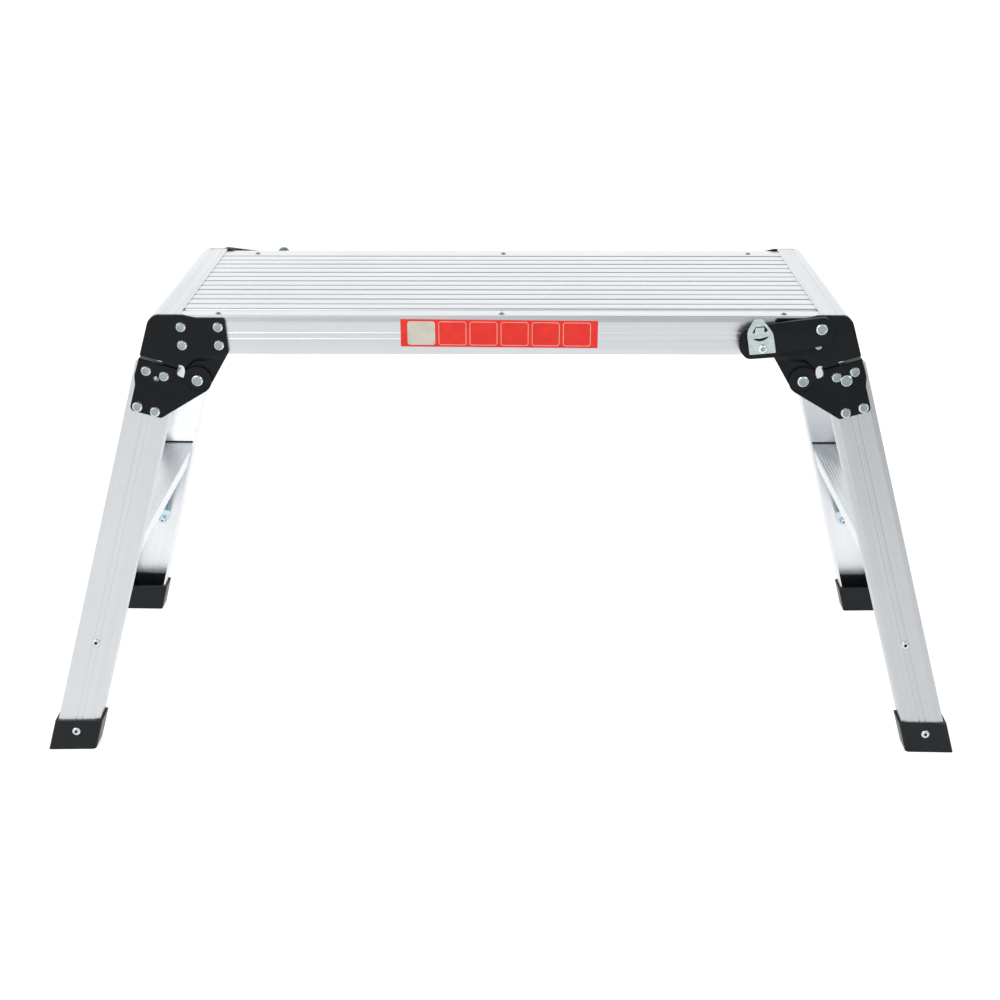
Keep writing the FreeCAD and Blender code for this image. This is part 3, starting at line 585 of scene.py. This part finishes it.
# The rail's section, in mm
RAIL_HEIGHT = 42.0
RAIL_WALL = 2.0
RAIL_TOP_FLANGE = 30.0
RAIL_LIP = 2.0
BEVEL_WIDTH = 6.0
BEVEL_DEPTH = 1.0
BEVEL_ROUND = 4.0
RAIL_TOP_ROUND = 0.9
RAIL_FOOT_ROUND = 0.8
GROOVES = (17.7, 24.3)
GROOVE_HALF = 0.7
GROOVE_DEPTH = 0.4
GROOVE_ROUNDS = (0.3, 0.15)
PLANK_DEPTH = 8.0
LEDGE = 22.0
LEDGE_DROP = 4.0
LEDGE_SLOPE = 0.4
LEDGE_ROUNDS = (0.7, 0.4)
PLAIN_EDGE = (29.5, 1.4)
PLAIN_EDGE_DROP = 3.0
# The lower flange runs a little into the web, so that no gap shows between them.
RAIL_FLANGE = [(1.95, 0.0), (20.0, 0.0), (20.0, 2.0), (1.95, 2.0)]
# Lengths in metres
RAIL_BOTTOM = 0.458
RAIL_COPE = 0.046
PIN_HOLE = 0.0041
PIN_HOLE_DEPTH = 0.02


def rail_outline(ledge):
    # The section as (depth behind the web face, height above the rail's bottom). With
    # a ledge, the top flange steps down beside the first plank.
    points = [(BEVEL_DEPTH, 0, RAIL_FOOT_ROUND), (0, BEVEL_WIDTH, BEVEL_ROUND)]
    for groove in GROOVES:
        points += [
            (0, groove - GROOVE_HALF, GROOVE_ROUNDS[0]),
            (GROOVE_DEPTH, groove, GROOVE_ROUNDS[1]),
            (0, groove + GROOVE_HALF, GROOVE_ROUNDS[0])]
    points += [
        (0, RAIL_HEIGHT - BEVEL_WIDTH, BEVEL_ROUND), (BEVEL_DEPTH, RAIL_HEIGHT, RAIL_TOP_ROUND)]
    top = RAIL_HEIGHT - LEDGE_DROP if ledge else RAIL_HEIGHT
    if ledge:
        points += [
            (LEDGE - LEDGE_SLOPE, RAIL_HEIGHT, LEDGE_ROUNDS[0]), (LEDGE, top, LEDGE_ROUNDS[1]),
            (RAIL_TOP_FLANGE, top, 0)]
    else:
        points += [
            (PLAIN_EDGE[0], RAIL_HEIGHT, PLAIN_EDGE[1]),
            (RAIL_TOP_FLANGE, RAIL_HEIGHT - PLAIN_EDGE_DROP, 0)]
    points += [
        (RAIL_TOP_FLANGE, RAIL_HEIGHT - PLANK_DEPTH, 0),
        (RAIL_TOP_FLANGE - RAIL_LIP, RAIL_HEIGHT - PLANK_DEPTH, 0),
        (RAIL_TOP_FLANGE - RAIL_LIP, top - RAIL_WALL, 0)]
    if ledge:
        points += [
            (LEDGE - RAIL_WALL, top - RAIL_WALL, 0),
            (LEDGE - RAIL_WALL, RAIL_HEIGHT - RAIL_WALL, 0)]
    points += [(RAIL_WALL, RAIL_HEIGHT - RAIL_WALL, 0), (RAIL_WALL, 0, 0)]
    return rounded(points, 5)


def drill(piece, place):
    # Cuts the hole for a lever pin through the web.
    mesh = bpy.data.meshes.new("hole")
    bm = bmesh.new()
    bmesh.ops.create_cone(
        bm, cap_ends=True, segments=40, radius1=PIN_HOLE, radius2=PIN_HOLE,
        depth=PIN_HOLE_DEPTH)
    bm.transform(Matrix.Translation(place) @ Matrix.Rotation(math.radians(90), 4, "X"))
    bm.to_mesh(mesh)
    bm.free()
    cutter = bpy.data.objects.new("hole", mesh)
    bpy.context.scene.collection.objects.link(cutter)
    cut = piece.modifiers.new("pin_hole", "BOOLEAN")
    cut.object = cutter
    bpy.context.view_layer.update()
    piece.data = bpy.data.meshes.new_from_object(
        piece.evaluated_get(bpy.context.evaluated_depsgraph_get()))
    piece.modifiers.clear()
    bpy.data.objects.remove(cutter)


# Which faces of a rail take painted light: the top and the upward lower sides of the web's
# grooves get the lighter alloy, a painted highlight, and the floor of the ledge the darker alloy,
# painted shade
UP = 0.6
GROOVE_UP = 0.25
GROOVE_MIDDLE = 0.021
GROOVE_REACH = 0.006
TOP_BAND = 0.001
LEDGE_BAND = 0.006

for name, sign in (("front_rail", 1), ("rear_rail", -1)):
    low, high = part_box(name)
    sections = []
    # The lower flange stops short of both ends, where the hinges are.
    for points, short in ((rail_outline(sign > 0), 0.0), (RAIL_FLANGE, RAIL_COPE)):
        outline = [
            (sign * (WEB_FACE + depth * 0.001), RAIL_BOTTOM + height * 0.001)
            for depth, height in points]
        sections.append((outline, low[0] + short, high[0] - short))
    piece = extrusion(
        name + "_profile", sections, [alloy_x, alloy_lit_top, alloy_shaded], "deck")
    for face in piece.data.polygons:
        height = face.center.z
        top = face.normal.z > UP and height > DECK_TOP - TOP_BAND
        groove_middle = RAIL_BOTTOM + GROOVE_MIDDLE
        groove = face.normal.z > GROOVE_UP and abs(height - groove_middle) < GROOVE_REACH
        if top or groove:
            face.material_index = 1
        elif face.normal.z > UP and height > DECK_TOP - LEDGE_BAND:
            face.material_index = 2
    drill(piece, (sign * LEVER_PIN[0], sign * WEB_FACE, LEVER_PIN[1]))
    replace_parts(piece, name)

# The planks' section, in mm
PLANK_CROWN = 0.25
PLANK_SKIN = 3.6
PLANK_WALL = 1.8
PLANK_RIB = 0.9
EDGE_SLOPE = 0.5
EDGE_DROP = 0.3
EDGE_ROUND = 1.8
EDGE_DEPTH = 3.0
CROWN_STEPS = 8
MID_GROOVE = [
    (-1.2, -0.25, 0.8), (-0.5, -0.8, 0.4), (0.5, -0.8, 0.4), (1.2, -0.25, 0.8)]


def plank_outline(width):
    # The section as (distance from the front edge, height above the deck's top): two
    # slightly crowned halves with a groove between them, side walls and a middle rib.
    middle = width / 2
    points = [(0.0, -EDGE_DEPTH, 0), (EDGE_SLOPE, -EDGE_DROP, EDGE_ROUND)]
    groove_half = MID_GROOVE[-1][0]
    for start, end in (
            (EDGE_SLOPE, middle - groove_half), (middle + groove_half, width - EDGE_SLOPE)):
        centre = (start + end) / 2
        half = (end - start) / 2
        for step in range(1, CROWN_STEPS):
            place = start + (end - start) * step / CROWN_STEPS
            points.append((place, -PLANK_CROWN * ((place - centre) / half) ** 2, 0))
        if end < middle:
            points += [(middle + place, height, radius) for place, height, radius in MID_GROOVE]
    points += [(width - EDGE_SLOPE, -EDGE_DROP, EDGE_ROUND), (width, -EDGE_DEPTH, 0)]
    points += [
        (width, -PLANK_DEPTH, 0), (width - PLANK_WALL, -PLANK_DEPTH, 0),
        (width - PLANK_WALL, -PLANK_SKIN, 0), (middle + PLANK_RIB, -PLANK_SKIN, 0),
        (middle + PLANK_RIB, -PLANK_DEPTH, 0), (middle - PLANK_RIB, -PLANK_DEPTH, 0),
        (middle - PLANK_RIB, -PLANK_SKIN, 0), (PLANK_WALL, -PLANK_SKIN, 0),
        (PLANK_WALL, -PLANK_DEPTH, 0), (0.0, -PLANK_DEPTH, 0)]
    return rounded(points, 5)


# The planks take the lighter alloy, painted light on the deck's top.
for number in range(1, 7):
    name = "deck_plank_" + str(number)
    low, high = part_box(name)
    outline = [
        (low[1] + place * 0.001, DECK_TOP + height * 0.001)
        for place, height in plank_outline((high[1] - low[1]) * 1000)]
    piece = extrusion(name + "_profile", [(outline, low[0], high[0])], alloy_lit_top, "deck")
    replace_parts(piece, name)

# Small screw heads in the joints between the planks, over the middle member
JOINTS = (-0.120, -0.080, -0.040, 0.0, 0.040, 0.080, 0.120)
JOINT_SCREW = [
    (0.0016, -0.0014), (0.0016, 0.0), (0.0013, 0.0004), (0.0007, 0.0006), (0.0, 0.0006)]
ONE_SCREW = (0.002,)
TWO_SCREWS = (-0.004, 0.006)
JOINT_SCREW_SINK = 0.0022
shapes = []
for index, y in enumerate(JOINTS):
    for x in TWO_SCREWS if index % 2 else ONE_SCREW:
        shapes.append((JOINT_SCREW, (x, y, DECK_TOP - JOINT_SCREW_SINK), (0, 0, 1)))
# The joint screws take the darker zinc: painted shade.
turned_piece("joint_screws", shapes, [zinc_shade], "deck")

# Dark strips where the treads meet the stiles: painted shade in the gaps there
SHADE_STRIP_ENDS = (0.0250, 0.0260, 0.0645, 0.0655)
SHADE_STRIP_SECTION = [
    (0.0, -0.0004), (0.0, 0.0009), (0.0004, 0.0011), (0.0014, 0.0005), (0.0014, -0.0004)]
SHADE_STRIP_TAPER = 0.0004
SHADE_STRIP_GAP = 0.0002
TREAD_TOP = 0.242
for side in ("left", "right"):
    mesh = bpy.data.meshes.new(side + "_tread_gap_shade")
    bm = bmesh.new()
    for corner in CORNERS:
        if not corner.endswith(side):
            continue
        rings = []
        for index, across in enumerate(SHADE_STRIP_ENDS):
            end = on_stile(across, down_stile(TREAD_TOP), WALL + SHADE_STRIP_GAP)
            top = on_stile(across, 0.0, WALL + SHADE_STRIP_GAP)
            end = end + (top - end) * ((TREAD_TOP - end.z) / (top.z - end.z))
            taper = SHADE_STRIP_TAPER if index in (0, len(SHADE_STRIP_ENDS) - 1) else 0.0
            ring = []
            for back, height in SHADE_STRIP_SECTION:
                rise = height - taper if height > 0 else height
                place = turned((end.x, end.y + back, end.z + rise), corner)
                ring.append(bm.verts.new(place))
            rings.append(ring)
        join_rings(bm, rings)
    bmesh.ops.recalc_face_normals(bm, faces=bm.faces)
    bm.to_mesh(mesh)
    bm.free()
    finish_piece(side + "_tread_gap_shade", mesh, shade_black, side + "_leg")

# The pressed levers


LEAST_RADIUS = 0.05


def offset_corners(corners, inset):
    # Moves each straight edge of a polygon of (x, z, radius) corners inwards.
    count = len(corners)
    area = sum(
        corners[i - 1][0] * corners[i][1] - corners[i][0] * corners[i - 1][1]
        for i in range(count))
    inward = 1 if area > 0 else -1
    result = []
    for i in range(count):
        before = Vector(corners[i - 1][:2])
        here = Vector(corners[i][:2])
        after = Vector(corners[(i + 1) % count][:2])
        first = (here - before).normalized()
        second = (after - here).normalized()
        normal_a = Vector((-first.y, first.x)) * inward
        normal_b = Vector((-second.y, second.x)) * inward
        cross = first.x * second.y - first.y * second.x
        shift = normal_a + normal_b
        moved = here + shift * (inset / (1 + normal_a.dot(normal_b)))
        radius = corners[i][2]
        radius += -inset if cross * inward > 0 else inset
        result.append((moved.x, moved.y, max(radius, LEAST_RADIUS)))
    return result


# Sizes of the pressed shell in mm, from the lever pin
LEVER_OUTLINE = [
    (-81.5, -1.7, 3.0), (-86.2, -10.0, 10.0), (-84.2, -24.0, 12.0), (-76.5, -33.2, 9.0),
    (-45.9, -31.0, 1.2), (-45.2, -27.0, 1.2), (11.5, -17.0, 7.0), (11.5, 13.4, 9.5),
    (-50.0, 5.6, 20.0)]
LEVER_ROUND = 1.3
LEVER_DEPTH = 6.0
LEVER_WALL = 2.0
ROUND_STEPS = 5


def from_lever(points):
    x, z = LEVER_PIN
    return [(x + p[0] * 0.001, z + p[1] * 0.001) for p in points]


for corner in LOCKED:
    sections = []
    for step in range(ROUND_STEPS + 1):
        angle = math.pi / 2 * step / ROUND_STEPS
        sections.append((
            LEVER_ROUND * (1 - math.sin(angle)), LEVER_ROUND * (1 - math.cos(angle))))
    sections += [
        (0.0, LEVER_DEPTH), (LEVER_WALL, LEVER_DEPTH), (LEVER_WALL, LEVER_WALL)]
    mesh = bpy.data.meshes.new(corner + "_lever_shell")
    bm = bmesh.new()
    loops = []
    for inset, depth in sections:
        outline = from_lever(rounded(offset_corners(LEVER_OUTLINE, inset)))
        loops.append([bm.verts.new((x, LEVER_FACE + depth * 0.001, z)) for x, z in outline])
    join_rings(bm, loops)
    bmesh.ops.recalc_face_normals(bm, faces=bm.faces)
    bm.to_mesh(mesh)
    bm.free()
    to_corner(mesh, corner)
    shell = finish_piece(
        corner + "_lever_shell", mesh, black, corner + "_lever", 40)
    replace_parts(shell, corner + "_lever")

# The catch plate on the free end of each lever, in mm from the lever pin

CATCH_OUTLINE = [
    (-73.9, -27.7, 1.0), (-78.2, -3.0, 14.0), (-70.6, 11.4, 5.0), (-62.8, 11.4, 5.0),
    (-50.6, -3.6, 14.0), (-46.3, -25.2, 1.0)]
CATCH_WINDOWS = [
    [(-72.4, -3.9, 0.3), (-58.3, -2.4, 0.3), (-56.0, -0.8, 0.3), (-60.0, 3.7, 0.3),
     (-69.6, 2.3, 0.3)],
    [(-71.3, -10.4, 0), (-67.6, -12.2, 0), (-64.1, -12.6, 0), (-60.0, -11.8, 0),
     (-57.0, -9.8, 0), (-55.1, -7.1, 0), (-59.8, -8.7, 0), (-64.2, -9.9, 0), (-67.6, -9.8, 0)]]
CATCH_RIVET = [
    (0.0043, -0.0003), (0.0044, 0.0006), (0.0043, 0.0014, 1), (0.0036, 0.0021, 1),
    (0.0026, 0.0024, 1), (0.0022, 0.0023, 2), (0.0012, 0.0021, 2), (0.0, 0.0022, 2)]
CATCH_RIVET_PLACE = (-0.0606, -0.0206)
CATCH_BEVEL = 0.0003
# The pressed tongue that stands in the upper window: left, right, bottom and top
TONGUE = (-70.0, -60.2, -4.6, 2.0)
TONGUE_STEPS = 6
TONGUE_LIFT = 0.0012
TONGUE_CURVE = 1.15
TONGUE_TAPER = 0.0004
TONGUE_TILT = 0.0008
TONGUE_THICKNESS = 0.0010

for corner in LOCKED:
    outlines = [from_lever(rounded(CATCH_OUTLINE))]
    outlines += [from_lever(rounded(points)) for points in CATCH_WINDOWS]
    mesh = sheet_mesh(corner + "_catch", outlines, CATCH_THICKNESS, CATCH_BEVEL)
    mesh.transform(Matrix.Translation((0, LEVER_FACE, 0)))
    bm = bmesh.new()
    bm.from_mesh(mesh)
    x, z = LEVER_PIN
    rings = []
    for step in range(TONGUE_STEPS + 1):
        part = step / TONGUE_STEPS
        lift = TONGUE_LIFT * math.sin(math.pi * min(1.0, part * TONGUE_CURVE) / 2)
        left = x + TONGUE[0] * 0.001 + TONGUE_TAPER * part
        right = x + TONGUE[1] * 0.001 - TONGUE_TAPER * part
        height = z + (TONGUE[2] + (TONGUE[3] - TONGUE[2]) * part) * 0.001
        front = LEVER_FACE - CATCH_THICKNESS - lift
        back = front + TONGUE_THICKNESS
        rings.append([bm.verts.new(place) for place in (
            (left, front, height), (right, front, height + TONGUE_TILT),
            (right, back, height + TONGUE_TILT), (left, back, height))])
    join_rings(bm, rings)
    across, up = CATCH_RIVET_PLACE
    lathe(bm, CATCH_RIVET, (x + across, LEVER_FACE - CATCH_THICKNESS, z + up), (0, -1, 0))
    bm.to_mesh(mesh)
    bm.free()
    to_corner(mesh, corner)
    # The catch rivet's rim and centre bands take the painted highlight and painted shade zinc.
    catch = finish_piece(
        corner + "_catch_plate", mesh, [zinc_catch, zinc_highlight, zinc_shade],
        corner + "_lever")
    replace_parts(catch, corner + "_lever_catch")

# The plain red strip on the front rail

STRIP = (-0.1047, 0.1036)
STRIP_LOW = 0.4662
STRIP_HIGH = 0.4960
STRIP_TILT = -0.0080
PANELS = (0.0073, 0.0402, 0.0730, 0.1059, 0.1387, 0.1716)
PANEL_WIDTH = 0.0292
PANEL_LOW = 0.0020
PANEL_HIGH = 0.0277
PANEL_ROUND = 0.0030
PANEL_LINE = 0.0006
FILM = 0.00025
PRINT = 0.00010
STRIP_CORNER = 0.0008
FILM_EDGE = 0.00005
PRINT_EDGE = 0.00002
BEND_STEPS = (-2, -1, 0, 1, 2)
BEND_STEP = 0.0002


def box_outline(x0, x1, z0, z1, radius):
    corners = [(x0, z0, radius), (x1, z0, radius), (x1, z1, radius), (x0, z1, radius)]
    return [(x, z + STRIP_TILT * x) for x, z in rounded(corners)]


def lay_on_rail(mesh, lift):
    # Bends a flat film over the bevel at the top of the rail.
    edge = RAIL_BOTTOM + (RAIL_HEIGHT - BEVEL_WIDTH) * 0.001
    bm = bmesh.new()
    bm.from_mesh(mesh)
    for step in BEND_STEPS:
        bmesh.ops.bisect_plane(
            bm, geom=list(bm.verts) + list(bm.edges) + list(bm.faces),
            plane_co=(0, 0, edge + step * BEND_STEP), plane_no=(0, 0, 1))
    for vert in bm.verts:
        rise = max(0.0, vert.co.z - edge)
        vert.co.y += WEB_FACE - lift + rise * BEVEL_DEPTH / BEVEL_WIDTH
    bm.to_mesh(mesh)
    bm.free()


outline = box_outline(*STRIP, STRIP_LOW, STRIP_HIGH, STRIP_CORNER)
mesh = sheet_mesh("strip", [outline], FILM, FILM_EDGE)
lay_on_rail(mesh, 0.0)
finish_piece("red_strip", mesh, red_film, "deck")
for index, start in enumerate(PANELS):
    x0 = STRIP[0] + start
    x1 = x0 + PANEL_WIDTH
    low = STRIP_LOW + PANEL_LOW
    high = STRIP_LOW + PANEL_HIGH
    outlines = [box_outline(x0, x1, low, high, PANEL_ROUND)]
    if index:
        outlines.append(box_outline(
            x0 + PANEL_LINE, x1 - PANEL_LINE, low + PANEL_LINE, high - PANEL_LINE,
            PANEL_ROUND - PANEL_LINE))
    mesh = sheet_mesh("panel", outlines, PRINT, PRINT_EDGE)
    lay_on_rail(mesh, FILM)
    film = pale_film if index else cream_film
    finish_piece("strip_panel_" + str(index + 1), mesh, film, "deck")

# Floor, world, lamps and camera

SCENE = bpy.context.scene


def stage_mesh(name, points, material):
    mesh = bpy.data.meshes.new(name)
    mesh.from_pydata(points, [], [tuple(range(len(points)))])
    piece = bpy.data.objects.new(name, mesh)
    SCENE.collection.objects.link(piece)
    mesh.materials.append(material)
    return piece


def seen_directly(tree):
    # 1 for camera, glossy and transmission rays.
    path = tree.nodes.new("ShaderNodeLightPath")
    first = tree.nodes.new("ShaderNodeMath")
    first.operation = "MAXIMUM"
    second = tree.nodes.new("ShaderNodeMath")
    second.operation = "MAXIMUM"
    tree.links.new(path.outputs["Is Camera Ray"], first.inputs[0])
    tree.links.new(path.outputs["Is Glossy Ray"], first.inputs[1])
    tree.links.new(first.outputs[0], second.inputs[0])
    tree.links.new(path.outputs["Is Transmission Ray"], second.inputs[1])
    return second.outputs[0]


FLOOR_GREY = 0.42
FLOOR_GLOW = 0.80
WORLD_LIGHT = 0.80
floor_material = bpy.data.materials.new("floor")
floor_material.use_nodes = True
tree = floor_material.node_tree
tree.nodes.clear()
diffuse = tree.nodes.new("ShaderNodeBsdfDiffuse")
diffuse.inputs["Color"].default_value = (*(FLOOR_GREY,) * 3, 1)
glow = tree.nodes.new("ShaderNodeEmission")
glow.inputs["Color"].default_value = (1, 1, 1, 1)
strength = tree.nodes.new("ShaderNodeMath")
strength.operation = "MULTIPLY"
tree.links.new(seen_directly(tree), strength.inputs[0])
strength.inputs[1].default_value = FLOOR_GLOW
tree.links.new(strength.outputs[0], glow.inputs["Strength"])
total = tree.nodes.new("ShaderNodeAddShader")
output = tree.nodes.new("ShaderNodeOutputMaterial")
tree.links.new(diffuse.outputs[0], total.inputs[0])
tree.links.new(glow.outputs[0], total.inputs[1])
tree.links.new(total.outputs[0], output.inputs["Surface"])
SIZE = 12.0
stage_mesh("floor", [(-SIZE, -SIZE, 0), (SIZE, -SIZE, 0), (SIZE, SIZE, 0), (-SIZE, SIZE, 0)],
           floor_material)

world = bpy.data.worlds.new("studio")
SCENE.world = world
world.use_nodes = True
tree = world.node_tree
background = tree.nodes["Background"]
background.inputs["Color"].default_value = (1, 1, 1, 1)
spread = tree.nodes.new("ShaderNodeMapRange")
tree.links.new(seen_directly(tree), spread.inputs["Value"])
spread.inputs["To Min"].default_value = WORLD_LIGHT
spread.inputs["To Max"].default_value = 1.0
tree.links.new(spread.outputs["Result"], background.inputs["Strength"])


# A dome that only reflections see: bright behind the platform and in a band above the
# front, dim overhead, and dimmer to the front's right.
DOME = 3.6
DOME_RINGS = 24
DOME_SEGMENTS = 48
verts = []
for ring in range(DOME_RINGS + 1):
    height = math.pi / 2 * ring / DOME_RINGS
    for segment in range(DOME_SEGMENTS):
        angle = 2 * math.pi * segment / DOME_SEGMENTS
        verts.append((
            DOME * math.cos(height) * math.cos(angle),
            DOME * math.cos(height) * math.sin(angle), DOME * math.sin(height)))
faces = []
for ring in range(DOME_RINGS):
    for segment in range(DOME_SEGMENTS):
        after = (segment + 1) % DOME_SEGMENTS
        low = ring * DOME_SEGMENTS
        high = low + DOME_SEGMENTS
        faces.append((low + segment, low + after, high + after, high + segment))
mesh = bpy.data.meshes.new("reflected_dome")
mesh.from_pydata(verts, [], faces)
dome = bpy.data.objects.new("reflected_dome", mesh)
SCENE.collection.objects.link(dome)
dome_look = Nodes("dome_light")
parts = dome_look.add("ShaderNodeSeparateXYZ", {"Vector": dome_look.coords})
tree = dome_look.tree


def dome_ramp(stops):
    rise = dome_look.spread(parts.outputs["Z"], 0.0, 1.0, 0.0, DOME)
    return dome_look.ramp(rise, [(place, (value,) * 3) for place, value in stops])


# Brightness against height, from the horizon (0) to overhead (1)
BEHIND = [(0.0, 1.0), (0.30, 1.08), (0.54, 1.08), (0.70, 0.5), (0.85, 0.2)]
AHEAD = [(0.0, 1.0), (0.08, 0.9), (0.22, 0.5), (0.48, 1.3), (0.66, 1.3), (0.80, 0.3)]
FRONT_TO_BACK = (-0.5, 0.8)
LEFT_TO_RIGHT = (-1.4, 1.4)
LEFT_AND_RIGHT = (1.25, 0.55)

behind = dome_ramp(BEHIND)
ahead = dome_ramp(AHEAD)
side = dome_look.spread(parts.outputs["Y"], 0.0, 1.0, *FRONT_TO_BACK)
light = dome_look.mix(side, ahead, behind)
lean = dome_look.spread(parts.outputs["X"], *LEFT_AND_RIGHT, *LEFT_TO_RIGHT)
lean_behind = dome_look.add("ShaderNodeMix", {0: side, 3: 1.0}, data_type="FLOAT")
tree.links.new(lean, lean_behind.inputs[2])
strength = dome_look.add("ShaderNodeMath", operation="MULTIPLY")
gray = dome_look.add("ShaderNodeRGBToBW", {"Color": light})
tree.links.new(gray.outputs[0], strength.inputs[0])
tree.links.new(lean_behind.outputs[0], strength.inputs[1])
glow = dome_look.add("ShaderNodeEmission")
tree.links.new(strength.outputs[0], glow.inputs["Strength"])
tree.links.new(glow.outputs[0], tree.nodes["Material Output"].inputs["Surface"])
tree.nodes.remove(dome_look.shader)
mesh.materials.append(dome_look.material)
dome.visible_camera = False
dome.visible_diffuse = False
dome.visible_shadow = False
dome.visible_transmission = False
dome.visible_volume_scatter = False


def lamp(name, place, target, size, power):
    data = bpy.data.lights.new(name, "AREA")
    data.shape = "DISK"
    data.size = size
    data.energy = power
    piece = bpy.data.objects.new(name, data)
    SCENE.collection.objects.link(piece)
    piece.location = place
    piece.rotation_euler = (Vector(target) - Vector(place)).to_track_quat("-Z", "Y").to_euler()
    return piece


CENTRE = (0, 0, 0.3)
lamp("key", (-1.5, -1.9, 2.4), CENTRE, 1.2, 26)
lamp("fill", (1.9, -1.7, 1.8), CENTRE, 1.0, 12)

camera_data = bpy.data.cameras.new("camera")
camera = bpy.data.objects.new("camera", camera_data)
SCENE.collection.objects.link(camera)
SCENE.camera = camera
CAMERA_PLACE = (0.01501, -1.72794, 0.93925)
SENSOR = 36
SHIFT_PIXELS = 1.085
IMAGE = 1000
FOCAL_PIXELS = 1546.73
PITCH = math.radians(22.366)
YAW = math.radians(-0.541)
ROLL = math.radians(-0.08)
forward = Vector((
    math.sin(YAW) * math.cos(PITCH), math.cos(YAW) * math.cos(PITCH), -math.sin(PITCH)))
level = Vector((math.cos(YAW), -math.sin(YAW), 0))
upright = level.cross(forward)
right = level * math.cos(ROLL) + upright * math.sin(ROLL)
up = upright * math.cos(ROLL) - level * math.sin(ROLL)
turn = Matrix((right, up, -forward)).transposed().to_4x4()
camera.matrix_world = Matrix.Translation(CAMERA_PLACE) @ turn
camera_data.sensor_width = SENSOR
camera_data.lens = SENSOR * FOCAL_PIXELS / IMAGE
camera_data.shift_y = SHIFT_PIXELS / IMAGE
camera_data.clip_start = 0.05
camera_data.clip_end = 60

SCENE.view_settings.view_transform = "Standard"
